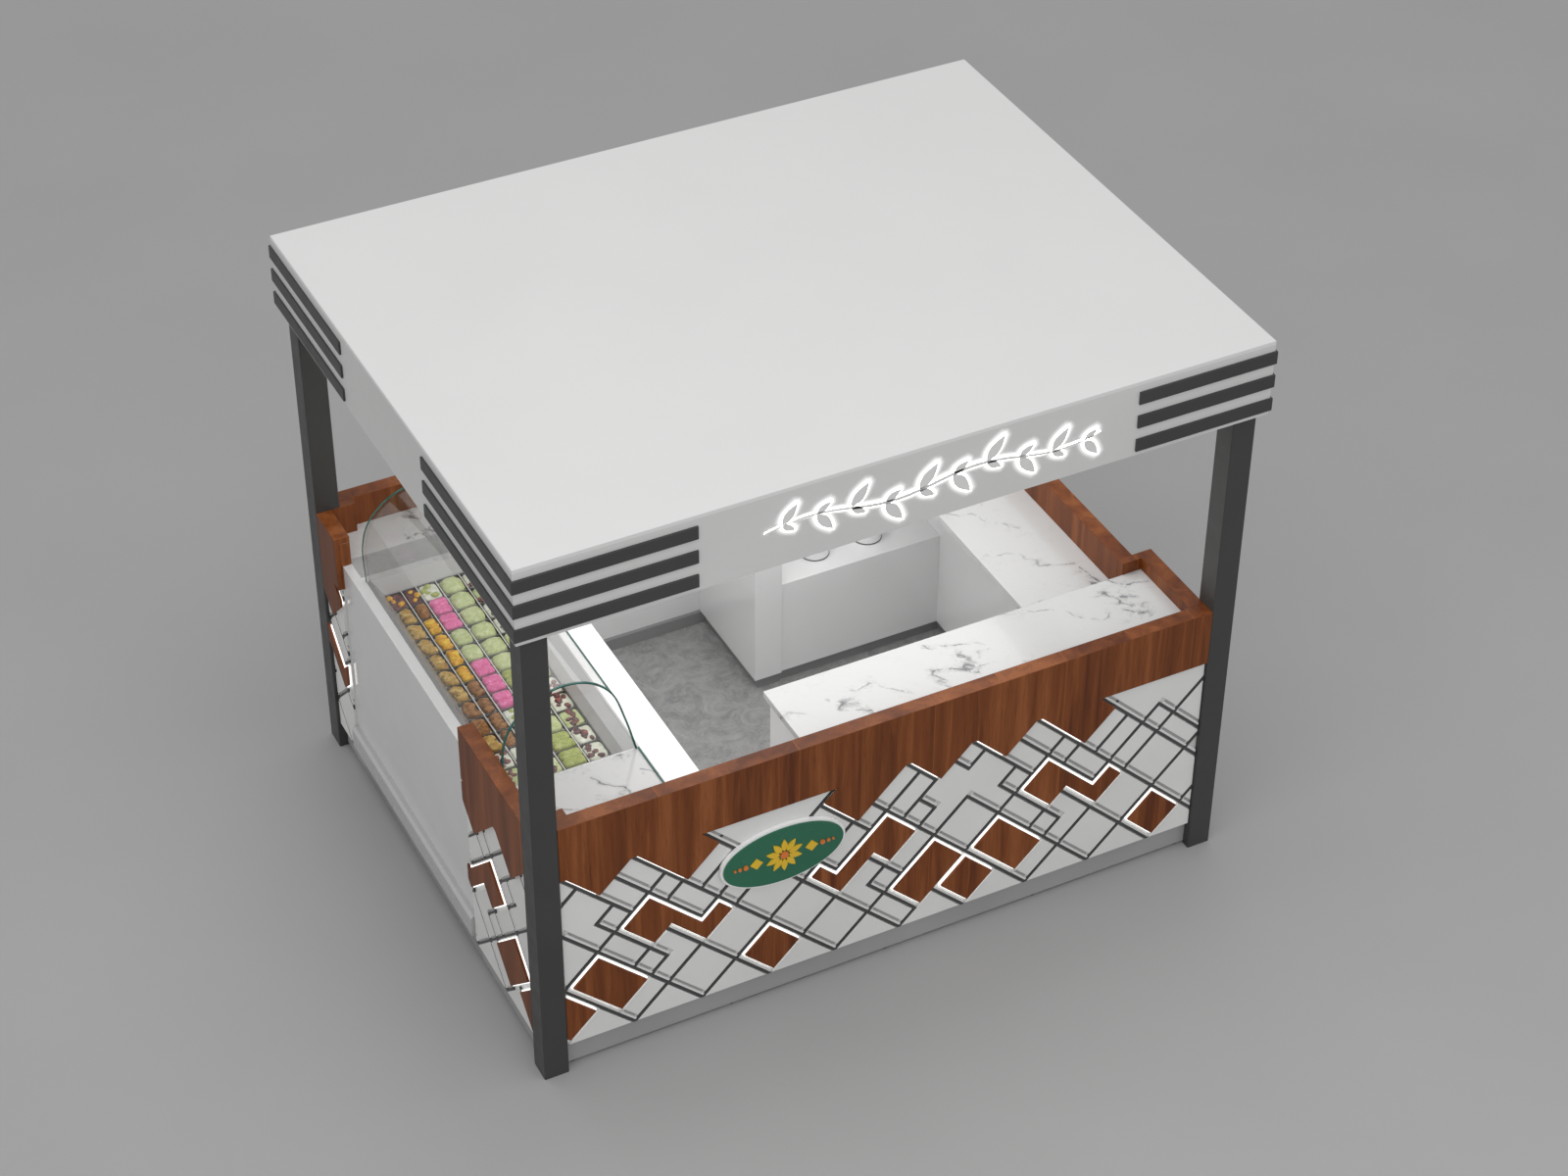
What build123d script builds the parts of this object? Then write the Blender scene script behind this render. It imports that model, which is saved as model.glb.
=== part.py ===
from build123d import *
import math
import os

# Street kiosk: a flat roof on four corner posts over a waist-high ring of counters.
# Millimetres, +Z up, front towards -Y. The origin is the centre of the footprint at ground level.

# ---- driving dimensions -------------------------------------------------------------------
roof_length = 3000.0
roof_depth = 2290.0
overall_height = 2460.0

board = 18.0
chamfer_small = 3.0
touch_clearance = 0.3

fascia_height = 325.0
bar_height = 54.0
bar_gap = 49.0
bar_proud = 8.0
bar_top_margin = 46.0
bar_arm_front_left = 680.0
bar_arm_front_right = 575.0
bar_arm_side_near = 785.0
bar_arm_side_far = 725.0
ceiling_recess = 12.0

post_size = 100.0
post_inset_x = 28.0
post_inset_y = 30.0

rail_height = 1225.0
rail_thickness = 28.0
kick_height = 125.0
kick_setback = 17.0
foot_height = 12.0
foot_diameter = 34.0
foot_setback = 6.0
foot_sides = 8
foot_spacing = 620.0
floor_thickness = 30.0

# the face of each outer wall, from the outside in
wood_thickness = 10.0
strip_recess = 14.0
strip_thickness = 7.0
wall_thickness = 37.0
post_cover = 64.0
lining_thickness = 6.0

# the diagonal lattice: square cells set on their corners, measured in half cells
cell_size = 200.0
strip_width = 10.0
lattice_rows = 6
glow_clearance = 4.0
tile_inset = 15.0
tile_inset_low = 32.0

# the side walls
wrap_front_length = 580.0
wrap_back_length = 195.0
right_wrap_length = 386.0
right_middle_setback = 87.0

# counters
worktop_height = 1087.0
marble_thickness = 30.0
bar_top_height = 1172.0
bar_end = 1150.0
marble_overhang = 20.0
right_top_depth = 395.0
right_body_depth = 112.0
skirting_height = 60.0
skirting_setback = 20.0

tall_unit_start = 1722.0
tall_unit_width = 126.0
tall_unit_depth = 545.0
low_unit_height = 530.0
low_unit_setback = 10.0
drum_diameter = 130.0
drum_height = 70.0

# glass display counter on the left side
display_recess = 27.0
display_lip = 55.0
display_rear = 645.0
display_well_depth = 150.0
display_pan_depth = 85.0
display_glass_start = 450.0
display_glass_end = 455.0
plinth_bottom = 160.0
plinth_height = 100.0
plinth_proud = 29.0
glass_thickness = 8.0
service_shelf_width = 138.0
service_shelf_thickness = 12.0

# ---- derived sizes ------------------------------------------------------------------------
half_length = roof_length / 2
half_depth = roof_depth / 2
fascia_bottom = overall_height - fascia_height
deck_bottom = overall_height - board
half_cell = cell_size / 2
step = cell_size / math.sqrt(2)
lattice_height = lattice_rows * step
band_bottom = kick_height + lattice_height
band_top = rail_height - rail_thickness
strip_to_wall = strip_recess + strip_thickness
rail_depth = strip_to_wall + wall_thickness
wall_depth = rail_depth + lining_thickness
post_inner_x = half_length - post_inset_x - post_size
post_inner_y = half_depth - post_inset_y - post_size
front_face = -(half_depth - post_inset_y)
back_face = -front_face
room_front = front_face + wall_depth
room_back = -room_front
left_face = -(half_length - post_inset_x)
right_wrap_face = post_inner_x
right_middle_face = right_wrap_face - right_middle_setback
room_right = right_middle_face - wall_depth
display_face = left_face + display_recess
display_front = -post_inner_y + wrap_front_length
display_back = post_inner_y - wrap_back_length

os.makedirs("parts", exist_ok=True)
nodes = {}
groups = {}


def block(x0, x1, y0, y1, z0, z1):
    """A box between two corners."""
    centre = Vector((x0 + x1) / 2, (y0 + y1) / 2, (z0 + z1) / 2)
    return Pos(centre) * Box(x1 - x0, y1 - y0, z1 - z0)


def solids_of(*shapes):
    """The solids of several shapes together, for one node."""
    found = []
    for shape in shapes:
        found.extend(shape.solids())
    return Compound(children=found) if len(found) > 1 else found[0]


def add(name, *shapes):
    """Put some shapes into the node that carries this name."""
    groups.setdefault(name, []).extend(shapes)


# ---- roof ---------------------------------------------------------------------------------
deck = block(-half_length, half_length, -half_depth, half_depth, deck_bottom, overall_height)
nodes["roof_deck"] = chamfer(deck.edges().group_by(Axis.Z)[-1], chamfer_small)

inner_x = half_length - board
inner_y = half_depth - board
nodes["fascia_front"] = block(-half_length, half_length, -half_depth, -inner_y, fascia_bottom, deck_bottom)
nodes["fascia_back"] = block(-half_length, half_length, inner_y, half_depth, fascia_bottom, deck_bottom)
nodes["fascia_left"] = block(-half_length, -inner_x, -inner_y, inner_y, fascia_bottom, deck_bottom)
nodes["fascia_right"] = block(inner_x, half_length, -inner_y, inner_y, fascia_bottom, deck_bottom)

post_x = half_length - post_inset_x - post_size / 2
post_y = half_depth - post_inset_y - post_size / 2
ceiling_bottom = fascia_bottom + ceiling_recess
ceiling_top = ceiling_bottom + board

joist_width = 45.0
joist_count = 4
joist_spacing = (2 * post_inner_x) / (joist_count + 1)
joists = []
for index in range(joist_count):
    x = -post_inner_x + (index + 1) * joist_spacing
    joists.append(block(x - joist_width / 2, x + joist_width / 2, -inner_y, inner_y, ceiling_top, deck_bottom))
nodes["roof_joists"] = solids_of(*joists)


def corner_bars(side, end):
    """Three bars that wrap one corner of the fascia."""
    bars = []
    outer_x = half_length + bar_proud
    outer_y = half_depth + bar_proud
    long_arm_length = bar_arm_front_left if side * end > 0 else bar_arm_front_right
    short_arm_length = bar_arm_side_near if end < 0 else bar_arm_side_far
    for index in range(3):
        top = overall_height - bar_top_margin - index * (bar_height + bar_gap)
        bottom = top - bar_height
        long_arm = block(half_length - long_arm_length, outer_x, half_depth, outer_y, bottom, top)
        short_arm = block(half_length, outer_x, half_depth - short_arm_length, outer_y, bottom, top)
        bar = long_arm + short_arm
        if side < 0:
            bar = mirror(bar, about=Plane.YZ)
        if end < 0:
            bar = mirror(bar, about=Plane.XZ)
        bars.append(bar)
    return solids_of(*bars)


def clear_of_posts(shape):
    """A shape with room cut for the corner posts."""
    hole = post_size + 2 * touch_clearance
    for side in (-1, 1):
        for end in (-1, 1):
            shape = shape - Pos(side * post_x, end * post_y, deck_bottom / 2) * Box(hole, hole, 2 * deck_bottom)
    return shape


ceiling = block(-inner_x, inner_x, -inner_y, inner_y, ceiling_bottom, ceiling_top)
nodes["ceiling_panel"] = clear_of_posts(ceiling)
corner_names = {(-1, -1): "front_left", (1, -1): "front_right", (-1, 1): "back_left", (1, 1): "back_right"}
for (side, end), name in corner_names.items():
    add("corner_bars", corner_bars(side, end))
    shaft = Pos(side * post_x, end * post_y, deck_bottom / 2) * Box(post_size, post_size, deck_bottom)
    nodes["post_" + name] = chamfer(shaft.edges().filter_by(Axis.Z), chamfer_small)


# ---- lattice pattern ----------------------------------------------------------------------
# In half cells, a grows along rising diagonals and b along falling ones. The point (a, b) lies
# step * (a + b) / 2 along the wall and step * (a - b) / 2 above the foot of the lattice.
pattern_period = 12

falling_strips = {
    2: [(-8, 2)],
    3: [(-6, -5)],
    4: [(-8, -6), (-4, 4)],
    5: [(-6, -5), (-3, 1)],
    6: [(-6, -2), (0, 6)],
    7: [(-4, 1)],
    8: [(-4, 8)],
    10: [(-2, 10)],
    11: [(1, 5), (7, 10)],
    12: [(6, 8), (10, 12)],
    13: [(1, 5)],
}
rising_strips = {
    0: [(4, 5), (8, 10)],
    1: [(4, 5), (7, 11)],
    2: [(2, 6), (8, 14)],
    4: [(4, 13)],
    5: [(11, 16)],
    6: [(8, 10), (14, 16)],
    7: [(11, 12), (14, 15), (17, 18)],
    8: [(8, 16)],
    9: [(17, 18)],
    10: [(10, 11), (14, 20)],
    11: [(19, 20), (22, 23)],
}
# outlines of the raised wood tiles, as (a, b) corners in turn
wood_tiles = [
    [(2, -2), (4, -2), (4, 1), (2, 1)],
    [(5, -2), (7, -2), (7, 1), (8, 1), (8, 2), (6, 2), (6, 0), (5, 0)],
    [(6, 4), (8, 4), (8, 6), (6, 6)],
    [(10, 4), (11, 4), (11, 5), (14, 5), (14, 7), (12, 7), (12, 6), (10, 6)],
    [(11, 8), (14, 8), (14, 10), (11, 10)],
    [(12, 10), (14, 10), (14, 12), (12, 12)],
]
# where the wood band steps down into the lattice, cut off by its lower edge
band_drops = [
    [(6, -7), (9, -7), (9, -4), (6, -4)],
    [(8, -4), (10, -4), (10, -1), (8, -1)],
    [(13, 2), (16, 2), (16, 4), (13, 4)],
    [(16, 3), (19, 3), (19, 6), (16, 6)],
]


def lattice_point(a, b):
    """Wall coordinates of a point of the diagonal grid."""
    return (step * (a + b) / 2, step * (a - b) / 2)


def inset_outline(points, inset, inset_low):
    """A right-angled (a, b) outline drawn in, further on the sides that face low a."""
    moved = []
    count = len(points)
    for index in range(count):
        before = points[index - 1]
        here = points[index]
        after = points[(index + 1) % count]
        a, b = here
        for first, second in ((before, here), (here, after)):
            da = second[0] - first[0]
            db = second[1] - first[1]
            length = abs(da) + abs(db)
            out_a = db / length
            out_b = -da / length
            amount = inset_low if out_a < -0.5 else inset
            a = a - out_a * amount / half_cell
            b = b - out_b * amount / half_cell
        moved.append((a, b))
    return moved


def outline_face(points, shift, start):
    """The face inside an (a, b) outline, with the wall's own start at zero."""
    corners = [lattice_point(a + shift, b + shift) for a, b in points]
    return Face(Wire.make_polygon([Vector(u - start, v, 0) for u, v in corners], close=True))


def overlaps(face, length, low, high):
    """Whether a face reaches into a stretch of wall."""
    box = face.bounding_box()
    return box.max.X > 1 and box.min.X < length - 1 and box.max.Y > low + 1 and box.min.Y < high - 1


def shifts(start, length):
    """The whole periods of the pattern that reach a stretch of wall."""
    period_length = pattern_period * step
    first = math.floor(start / period_length) - 1
    last = math.ceil((start + length) / period_length)
    return [pattern_period * index for index in range(first, last + 1)]


def raised(faces, near, far, clip, least_volume):
    """Faces carried from depth near to depth far, kept inside clip."""
    kept = []
    for face in faces:
        if face.normal_at().Z > 0:
            face = -face
        piece = Pos(0, 0, -near) * Solid.extrude(face, Vector(0, 0, near - far))
        inside = piece & clip
        if inside is None:
            continue
        for solid in inside.solids():
            if solid.volume > least_volume:
                kept.append(solid)
    return kept


def lattice_bars(start, length):
    """The strips of one stretch of wall, fused where they cross."""
    half = strip_width / 2 / half_cell
    near = strip_recess
    clip = block(0, length, 0, lattice_height, -strip_to_wall, -near)
    faces = []
    for shift in shifts(start, length):
        for a, spans in falling_strips.items():
            for b0, b1 in spans:
                outline = [(a - half, b0 - half), (a + half, b0 - half), (a + half, b1 + half), (a - half, b1 + half)]
                faces.append(outline_face(outline, shift, start))
        for b, spans in rising_strips.items():
            for a0, a1 in spans:
                outline = [(a0 - half, b - half), (a1 + half, b - half), (a1 + half, b + half), (a0 - half, b + half)]
                faces.append(outline_face(outline, shift, start))
    faces = [face for face in faces if overlaps(face, length, 0, lattice_height)]
    bars = raised(faces, near, strip_to_wall, clip, 500.0)
    return bars[0].fuse(*bars[1:]).solids()


def tile_faces(outlines, start, length, inset, inset_low):
    """The faces of every repeat of some outlines that may reach a wall."""
    faces = []
    for shift in shifts(start, length):
        for points in outlines:
            faces.append(outline_face(inset_outline(points, inset, inset_low), shift, start))
    return faces


def foot_pad():
    """One low levelling foot, centred on its own middle."""
    return Pos(0, 0, -foot_height / 2) * extrude(RegularPolygon(foot_diameter / 2, foot_sides), foot_height)


def build_wall(side, plane, start, length):
    """One patterned wall: panel, capped wood band with its steps, tiles, glow bodies and strips."""
    glow_inset = strip_width / 2 + glow_clearance
    top = band_top - kick_height
    add(side + "_panel", plane * block(0, length, 0, top, -rail_depth, -strip_to_wall))

    below = block(0, length, 0, lattice_height, -rail_depth, 0)
    cap = block(0, length, top, top + rail_thickness, -wall_depth, 0)
    cap = cap.fuse(block(0, length, worktop_height - kick_height, top, -wall_depth, -rail_depth))
    band = block(0, length, lattice_height, top, -strip_to_wall, 0).fuse(cap)
    drop_faces = tile_faces(band_drops, start, length, 0.0, tile_inset_low - tile_inset)
    drops = raised(drop_faces, 0, wood_thickness, below, 2000.0)
    add(side + "_wood_band", plane * (band.fuse(*drops) if drops else band))

    ends = wood_thickness
    reach = block(ends, length - ends, 0, lattice_height, -rail_depth, 0)
    drop_faces = tile_faces(band_drops, start, length, glow_inset, glow_inset)
    for glow in raised(drop_faces, wood_thickness, strip_to_wall, reach, 2000.0):
        add("glow_bodies", plane * glow)

    plate_faces = tile_faces(wood_tiles, start, length, tile_inset, tile_inset_low)
    back_faces = tile_faces(wood_tiles, start, length, glow_inset, glow_inset)
    for plate_face, back_face in zip(plate_faces, back_faces):
        plates = raised([plate_face], 0, wood_thickness, below, 9000.0)
        if plates:
            add("wood_tiles", *[plane * plate for plate in plates])
            backs = raised([back_face], wood_thickness, strip_to_wall, reach, 2000.0)
            add("glow_bodies", *[plane * back for back in backs])
    for bars in lattice_bars(start, length):
        add(side + "_lattice", plane * bars)

    kick_front = strip_to_wall + kick_setback
    kick_board = block(0, length, foot_height - kick_height, 0, -kick_front - board, -kick_front)
    add(side + "_kick_boards", plane * kick_board)
    count = max(2, round(length / foot_spacing) + 1)
    foot = Rot(90, 0, 0) * foot_pad()
    for index in range(count):
        u = foot_diameter + index * (length - 2 * foot_diameter) / (count - 1)
        depth = kick_front + foot_setback + foot_diameter / 2
        add("levelling_feet", plane * (Pos(u, foot_height / 2 - kick_height, -depth) * foot))


length_x = 2 * post_inner_x
side_shift = 3.0 * step
wrap_end = room_front + right_wrap_length
front_plane = Plane(origin=(-post_inner_x, front_face, kick_height), x_dir=(1, 0, 0), z_dir=(0, -1, 0))
build_wall("front", front_plane, 0.0, length_x)
back_plane = Plane(origin=(post_inner_x, back_face, kick_height), x_dir=(-1, 0, 0), z_dir=(0, 1, 0))
build_wall("back", back_plane, 0.0, length_x)
near_plane = Plane(origin=(left_face, display_front, kick_height), x_dir=(0, -1, 0), z_dir=(-1, 0, 0))
build_wall("left", near_plane, lattice_height * 2 - wrap_front_length, wrap_front_length)
far_plane = Plane(origin=(left_face, post_inner_y, kick_height), x_dir=(0, -1, 0), z_dir=(-1, 0, 0))
build_wall("left", far_plane, side_shift, wrap_back_length)
near_plane = Plane(origin=(right_wrap_face, room_front, kick_height), x_dir=(0, 1, 0), z_dir=(1, 0, 0))
build_wall("right", near_plane, 0.0, right_wrap_length)
long_plane = Plane(origin=(right_middle_face, wrap_end, kick_height), x_dir=(0, 1, 0), z_dir=(1, 0, 0))
build_wall("right", long_plane, right_wrap_length, room_back - wrap_end)

# the short return between the two stepped right walls
return_start = wrap_end - wall_thickness
wrap_room_right = right_wrap_face - wall_depth
nodes["right_return"] = block(
    room_right, wrap_room_right, return_start, wrap_end, kick_height, rail_height)

# ---- floor and linings --------------------------------------------------------------------
kick_inner = strip_to_wall + kick_setback + board
floor_left = left_face + kick_inner
floor_front = front_face + kick_inner
floor_right = room_right + lining_thickness
floor_top = foot_height + floor_thickness
floor_deck = block(floor_left, floor_right, floor_front, -floor_front, foot_height, floor_top)
wrap_floor_right = wrap_room_right + lining_thickness
floor_deck = floor_deck.fuse(block(floor_right, wrap_floor_right, floor_front, wrap_end, foot_height, floor_top))
nodes["floor_deck"] = clear_of_posts(floor_deck)
for u in (-0.6, 0.0, 0.6):
    for v in (-0.4, 0.4):
        add("levelling_feet", Pos(u * half_length, v * half_depth, foot_height / 2) * foot_pad())

lining_top = worktop_height
room_left = left_face + wall_depth
lining_front = front_face + rail_depth
lining_right = room_right + lining_thickness
lining = block(room_left, wrap_floor_right, lining_front, room_front, floor_top, lining_top)
lining = lining.fuse(block(wrap_room_right, wrap_floor_right, room_front, wrap_end, floor_top, lining_top))
lining = lining.fuse(block(room_left, lining_right, room_back, -lining_front, floor_top, lining_top))
lining = lining.fuse(block(room_right, lining_right, wrap_end, room_back, floor_top, lining_top))
nodes["room_lining"] = clear_of_posts(lining)
left_lining_x = left_face + rail_depth
for y0, y1 in ((-post_inner_y, display_front), (display_back, post_inner_y)):
    add("left_linings", block(left_lining_x, room_left, y0, y1, kick_height, lining_top))

# wood covers round the inner corners of the two left posts
cover_right = -post_inner_x + post_cover
cover_depth = post_inner_y - chamfer_small
for end in (-1, 1):
    y0, y1 = sorted((end * cover_depth, end * room_back))
    cover = clear_of_posts(block(room_left, cover_right, y0, y1, worktop_height, rail_height))
    add("left_wood_band", cover)

# ---- display counter ----------------------------------------------------------------------
skirting_top = floor_top + skirting_height
marble_under = worktop_height - marble_thickness
shelf_left = -half_length + display_rear
shelf_right = shelf_left + service_shelf_width
body_right = shelf_right - marble_overhang
lip_right = display_face + display_lip
panel_back = left_face + kick_inner
well_front = -half_depth + display_glass_start
well_back = half_depth - display_glass_end
well_bottom = worktop_height - display_well_depth

post_hole_edge = -post_inner_x + skirting_setback
body = block(panel_back, body_right, display_front, display_back, skirting_top, well_bottom)
body = body.fuse(block(room_left, body_right, room_front, display_front, skirting_top, well_bottom))
body = body.fuse(block(room_left, body_right, display_back, room_back, skirting_top, well_bottom))
nodes["display_body"] = clear_of_posts(body)
frame = block(room_left, body_right, room_front, well_front, well_bottom, marble_under)
frame = frame.fuse(block(room_left, body_right, well_back, room_back, well_bottom, marble_under))
frame = frame.fuse(block(shelf_left, body_right, room_front, room_back, well_bottom, marble_under))
nodes["display_top_frame"] = clear_of_posts(frame)
nodes["display_skirting"] = block(
    post_hole_edge, body_right - skirting_setback, room_front, room_back, floor_top, skirting_top)

base_right = left_face + kick_inner
plinth_top = plinth_bottom + plinth_height
nodes["display_base"] = block(
    base_right - board, base_right, display_front, display_back, foot_height, plinth_bottom)
plinth = block(display_face - plinth_proud, panel_back, display_front, display_back, plinth_bottom, plinth_top)
outer_top = plinth.edges().filter_by(Axis.Y).group_by(Axis.Z)[-1].sort_by(Axis.X)[0]
nodes["display_plinth"] = chamfer(outer_top, 4 * chamfer_small)
nodes["display_front_panel"] = block(
    display_face, panel_back, display_front, display_back, plinth_top, marble_under)
lip = block(display_face, lip_right, display_front, display_back, marble_under, worktop_height)
if well_front < display_front:
    lip = lip.fuse(block(room_left, lip_right, well_front, display_front, marble_under, worktop_height))
if well_back > display_back:
    lip = lip.fuse(block(room_left, lip_right, display_back, well_back, marble_under, worktop_height))
nodes["display_lip"] = lip
nodes["service_shelf"] = block(shelf_left, shelf_right, room_front, room_back, marble_under, worktop_height)
near_marble = block(room_left, shelf_left, room_front, well_front, marble_under, worktop_height)
far_marble = block(room_left, shelf_left, well_back, room_back, marble_under, worktop_height)
if display_back > well_back:
    far_marble = far_marble - block(room_left, lip_right, well_back, display_back, marble_under, worktop_height)
add("display_marble_ends", clear_of_posts(near_marble), clear_of_posts(far_marble))

# the well: a hopper rim over an open box that holds the pans
rim = 8.0
hopper_depth = 65.0
pan_left = lip_right + 45.0
pan_right = shelf_left - 80.0
pan_front = well_front + 80.0
pan_back = well_back - 35.0
pan_floor = worktop_height - hopper_depth - display_pan_depth + board
liner = block(lip_right, shelf_left, well_front, well_back, well_bottom, worktop_height)
mouth = Pos((lip_right + shelf_left) / 2, (well_front + well_back) / 2, worktop_height) * Rectangle(
    shelf_left - lip_right - 2 * rim, well_back - well_front - 2 * rim)
throat = Pos((pan_left + pan_right) / 2, (pan_front + pan_back) / 2, worktop_height - hopper_depth) * Rectangle(
    pan_right - pan_left, pan_back - pan_front)
hopper = Solid.make_loft([mouth.faces()[0].outer_wire(), throat.faces()[0].outer_wire()], True)
liner = liner.cut(hopper)
liner = liner.cut(block(pan_left, pan_right, pan_front, pan_back, pan_floor, worktop_height - hopper_depth))
nodes["display_well"] = liner

# pans: a ladder of dividers, filled with domed portions
pan_rows = 12
divider = 5.0
column_shares = [70.0, 60.0, 80.0, 95.0, 85.0]
pan_top = worktop_height - hopper_depth - 6.0
row_pitch = (pan_back - pan_front) / pan_rows
width_scale = (pan_right - pan_left - 2 * touch_clearance) / sum(column_shares)
grid = []
for row in range(pan_rows + 1):
    y = pan_front + touch_clearance + divider / 2 + row * (pan_back - pan_front - 2 * touch_clearance - divider) / pan_rows
    grid.append(block(pan_left + touch_clearance, pan_right - touch_clearance, y - divider / 2, y + divider / 2,
                      pan_floor, pan_top))
x = pan_left + touch_clearance
edges_x = [x]
for share in column_shares:
    x = x + share * width_scale
    edges_x.append(x)
for index, x in enumerate(edges_x):
    low = x if index == 0 else x - divider / 2
    low = x - divider if index == len(column_shares) else low
    grid.append(block(low, low + divider, pan_front + touch_clearance, pan_back - touch_clearance, pan_floor, pan_top))
nodes["pan_dividers"] = grid[0].fuse(*grid[1:])


def portion(x0, x1, y0, y1, z0, z1):
    """A portion of food with a soft top."""
    body = block(x0, x1, y0, y1, z0, z1)
    top_edges = body.edges().group_by(Axis.Z)[-1]
    return chamfer(top_edges, 9.0)


portion_gap = 2.0
for column in range(len(column_shares)):
    for row in range(pan_rows):
        y0 = pan_front + touch_clearance + divider / 2 + row * (
            pan_back - pan_front - 2 * touch_clearance - divider) / pan_rows
        y1 = y0 + (pan_back - pan_front - 2 * touch_clearance - divider) / pan_rows
        x0 = edges_x[column] + (divider if column == 0 else divider / 2) + portion_gap
        x1 = edges_x[column + 1] - (divider if column == len(column_shares) - 1 else divider / 2) - portion_gap
        gap = divider / 2 + portion_gap
        add("food_portions", portion(x0, x1, y0 + gap, y1 - gap, pan_floor, pan_top + 6.0))

# curved glass: x from the outer face of the roof edge, height above the counter top
front_corner_radius = 170.0
crest_radius = 200.0
rear_radius = 30.0
canopy_corners = [(104, 0), (90, 290), (330, 430), (548, 310)]
rear_foot = (display_rear - 12.0, 0)
rear_corner = (556, 306)


def glass_wire(corners, radii):
    """A run of straight and round lengths in the X-Z plane, round at every inner corner."""
    path = Polyline(*[(x - half_length, worktop_height + z) for x, z in corners])
    for corner, radius in zip(corners[1:-1], radii):
        target = Vector(corner[0] - half_length, worktop_height + corner[1], 0)
        nearest = path.vertices().sort_by_distance(target)[0]
        path = fillet(nearest, radius)
    return path


canopy_line = glass_wire(canopy_corners, [front_corner_radius, crest_radius])
sheet = make_face(offset(canopy_line, glass_thickness, side=Side.RIGHT))
span = well_back - well_front - 2 * glass_thickness
canopy = Rot(90, 0, 0) * extrude(sheet, span / 2, both=True)
nodes["curved_glass"] = Pos(0, (well_front + well_back) / 2, 0) * canopy
end_corners = canopy_corners[:-1] + [rear_corner, rear_foot]
end_line = glass_wire(end_corners, [front_corner_radius, crest_radius, rear_radius])
foot_line = Line(end_line @ 1, end_line @ 0)
end_face = make_face(end_line.edges() + foot_line.edges())
end_glass = Rot(90, 0, 0) * extrude(end_face, glass_thickness / 2, both=True)
for y in (well_front + glass_thickness / 2, well_back - glass_thickness / 2):
    add("end_glasses", Pos(0, y, 0) * end_glass)

# ---- bar and work counters ----------------------------------------------------------------
bar_left = -half_length + bar_end
bar_under = bar_top_height - marble_thickness
bar_back = return_start
carcass_left = bar_left + marble_overhang
carcass_back = bar_back - marble_overhang
right_top_left = room_right - right_top_depth
cabinet_face = room_right - right_body_depth
nodes["front_bar_top"] = block(bar_left, wrap_room_right, room_front, bar_back, bar_under, bar_top_height)
bar_carcass = block(carcass_left, carcass_left + board, room_front, carcass_back, floor_top, bar_under)
nodes["front_bar_carcass"] = bar_carcass.fuse(block(
    carcass_left, wrap_room_right, carcass_back - board, carcass_back, floor_top, bar_under))
nodes["right_worktop"] = block(
    right_top_left, room_right, carcass_back, room_back, marble_under, worktop_height)
nodes["right_cabinet"] = block(cabinet_face, room_right, carcass_back, room_back, skirting_top, marble_under)

tall_left = -half_length + tall_unit_start
tall_right = tall_left + tall_unit_width
tall_front = room_back - tall_unit_depth
low_front = tall_front + low_unit_setback
low_top = floor_top + low_unit_height
nodes["tall_unit"] = block(tall_left, tall_right, tall_front, room_back, skirting_top, worktop_height)
nodes["low_unit"] = block(tall_right, cabinet_face, low_front, room_back, skirting_top, low_top)
skirting = block(cabinet_face + skirting_setback, room_right, carcass_back, room_back, floor_top, skirting_top)
skirting = skirting.fuse(block(
    tall_left + skirting_setback, cabinet_face + skirting_setback, low_front + skirting_setback, room_back,
    floor_top, skirting_top))
skirting = skirting.fuse(block(
    tall_left + skirting_setback, tall_right, tall_front + skirting_setback, low_front + skirting_setback,
    floor_top, skirting_top))
back_strip = block(
    body_right, tall_left + skirting_setback, room_back - board, room_back, floor_top, skirting_top)
nodes["unit_skirting"] = skirting.fuse(back_strip)

# round items on the low unit
drum_y = low_front + 0.25 * tall_unit_depth
for index in range(2):
    drum_x = tall_right + (0.30 + 0.33 * index) * (cabinet_face - tall_right)
    drum = Pos(drum_x, drum_y, low_top + drum_height / 2) * Cylinder(drum_diameter / 2, drum_height)
    knob = Pos(drum_x, drum_y, low_top + drum_height + 9) * Cylinder(12, 18)
    add("lidded_drums", drum.fuse(knob))

for name, shapes in groups.items():
    nodes[name] = solids_of(*shapes)
for name, shape in nodes.items():
    export_step(shape, "parts/" + name + ".step")
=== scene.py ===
import logging
import math
from dataclasses import dataclass, field
from enum import Enum
from functools import cached_property
from itertools import product
from typing import ClassVar, Iterable, Sequence

import bmesh
import bpy
from mathutils import Matrix, Vector, noise

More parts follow.
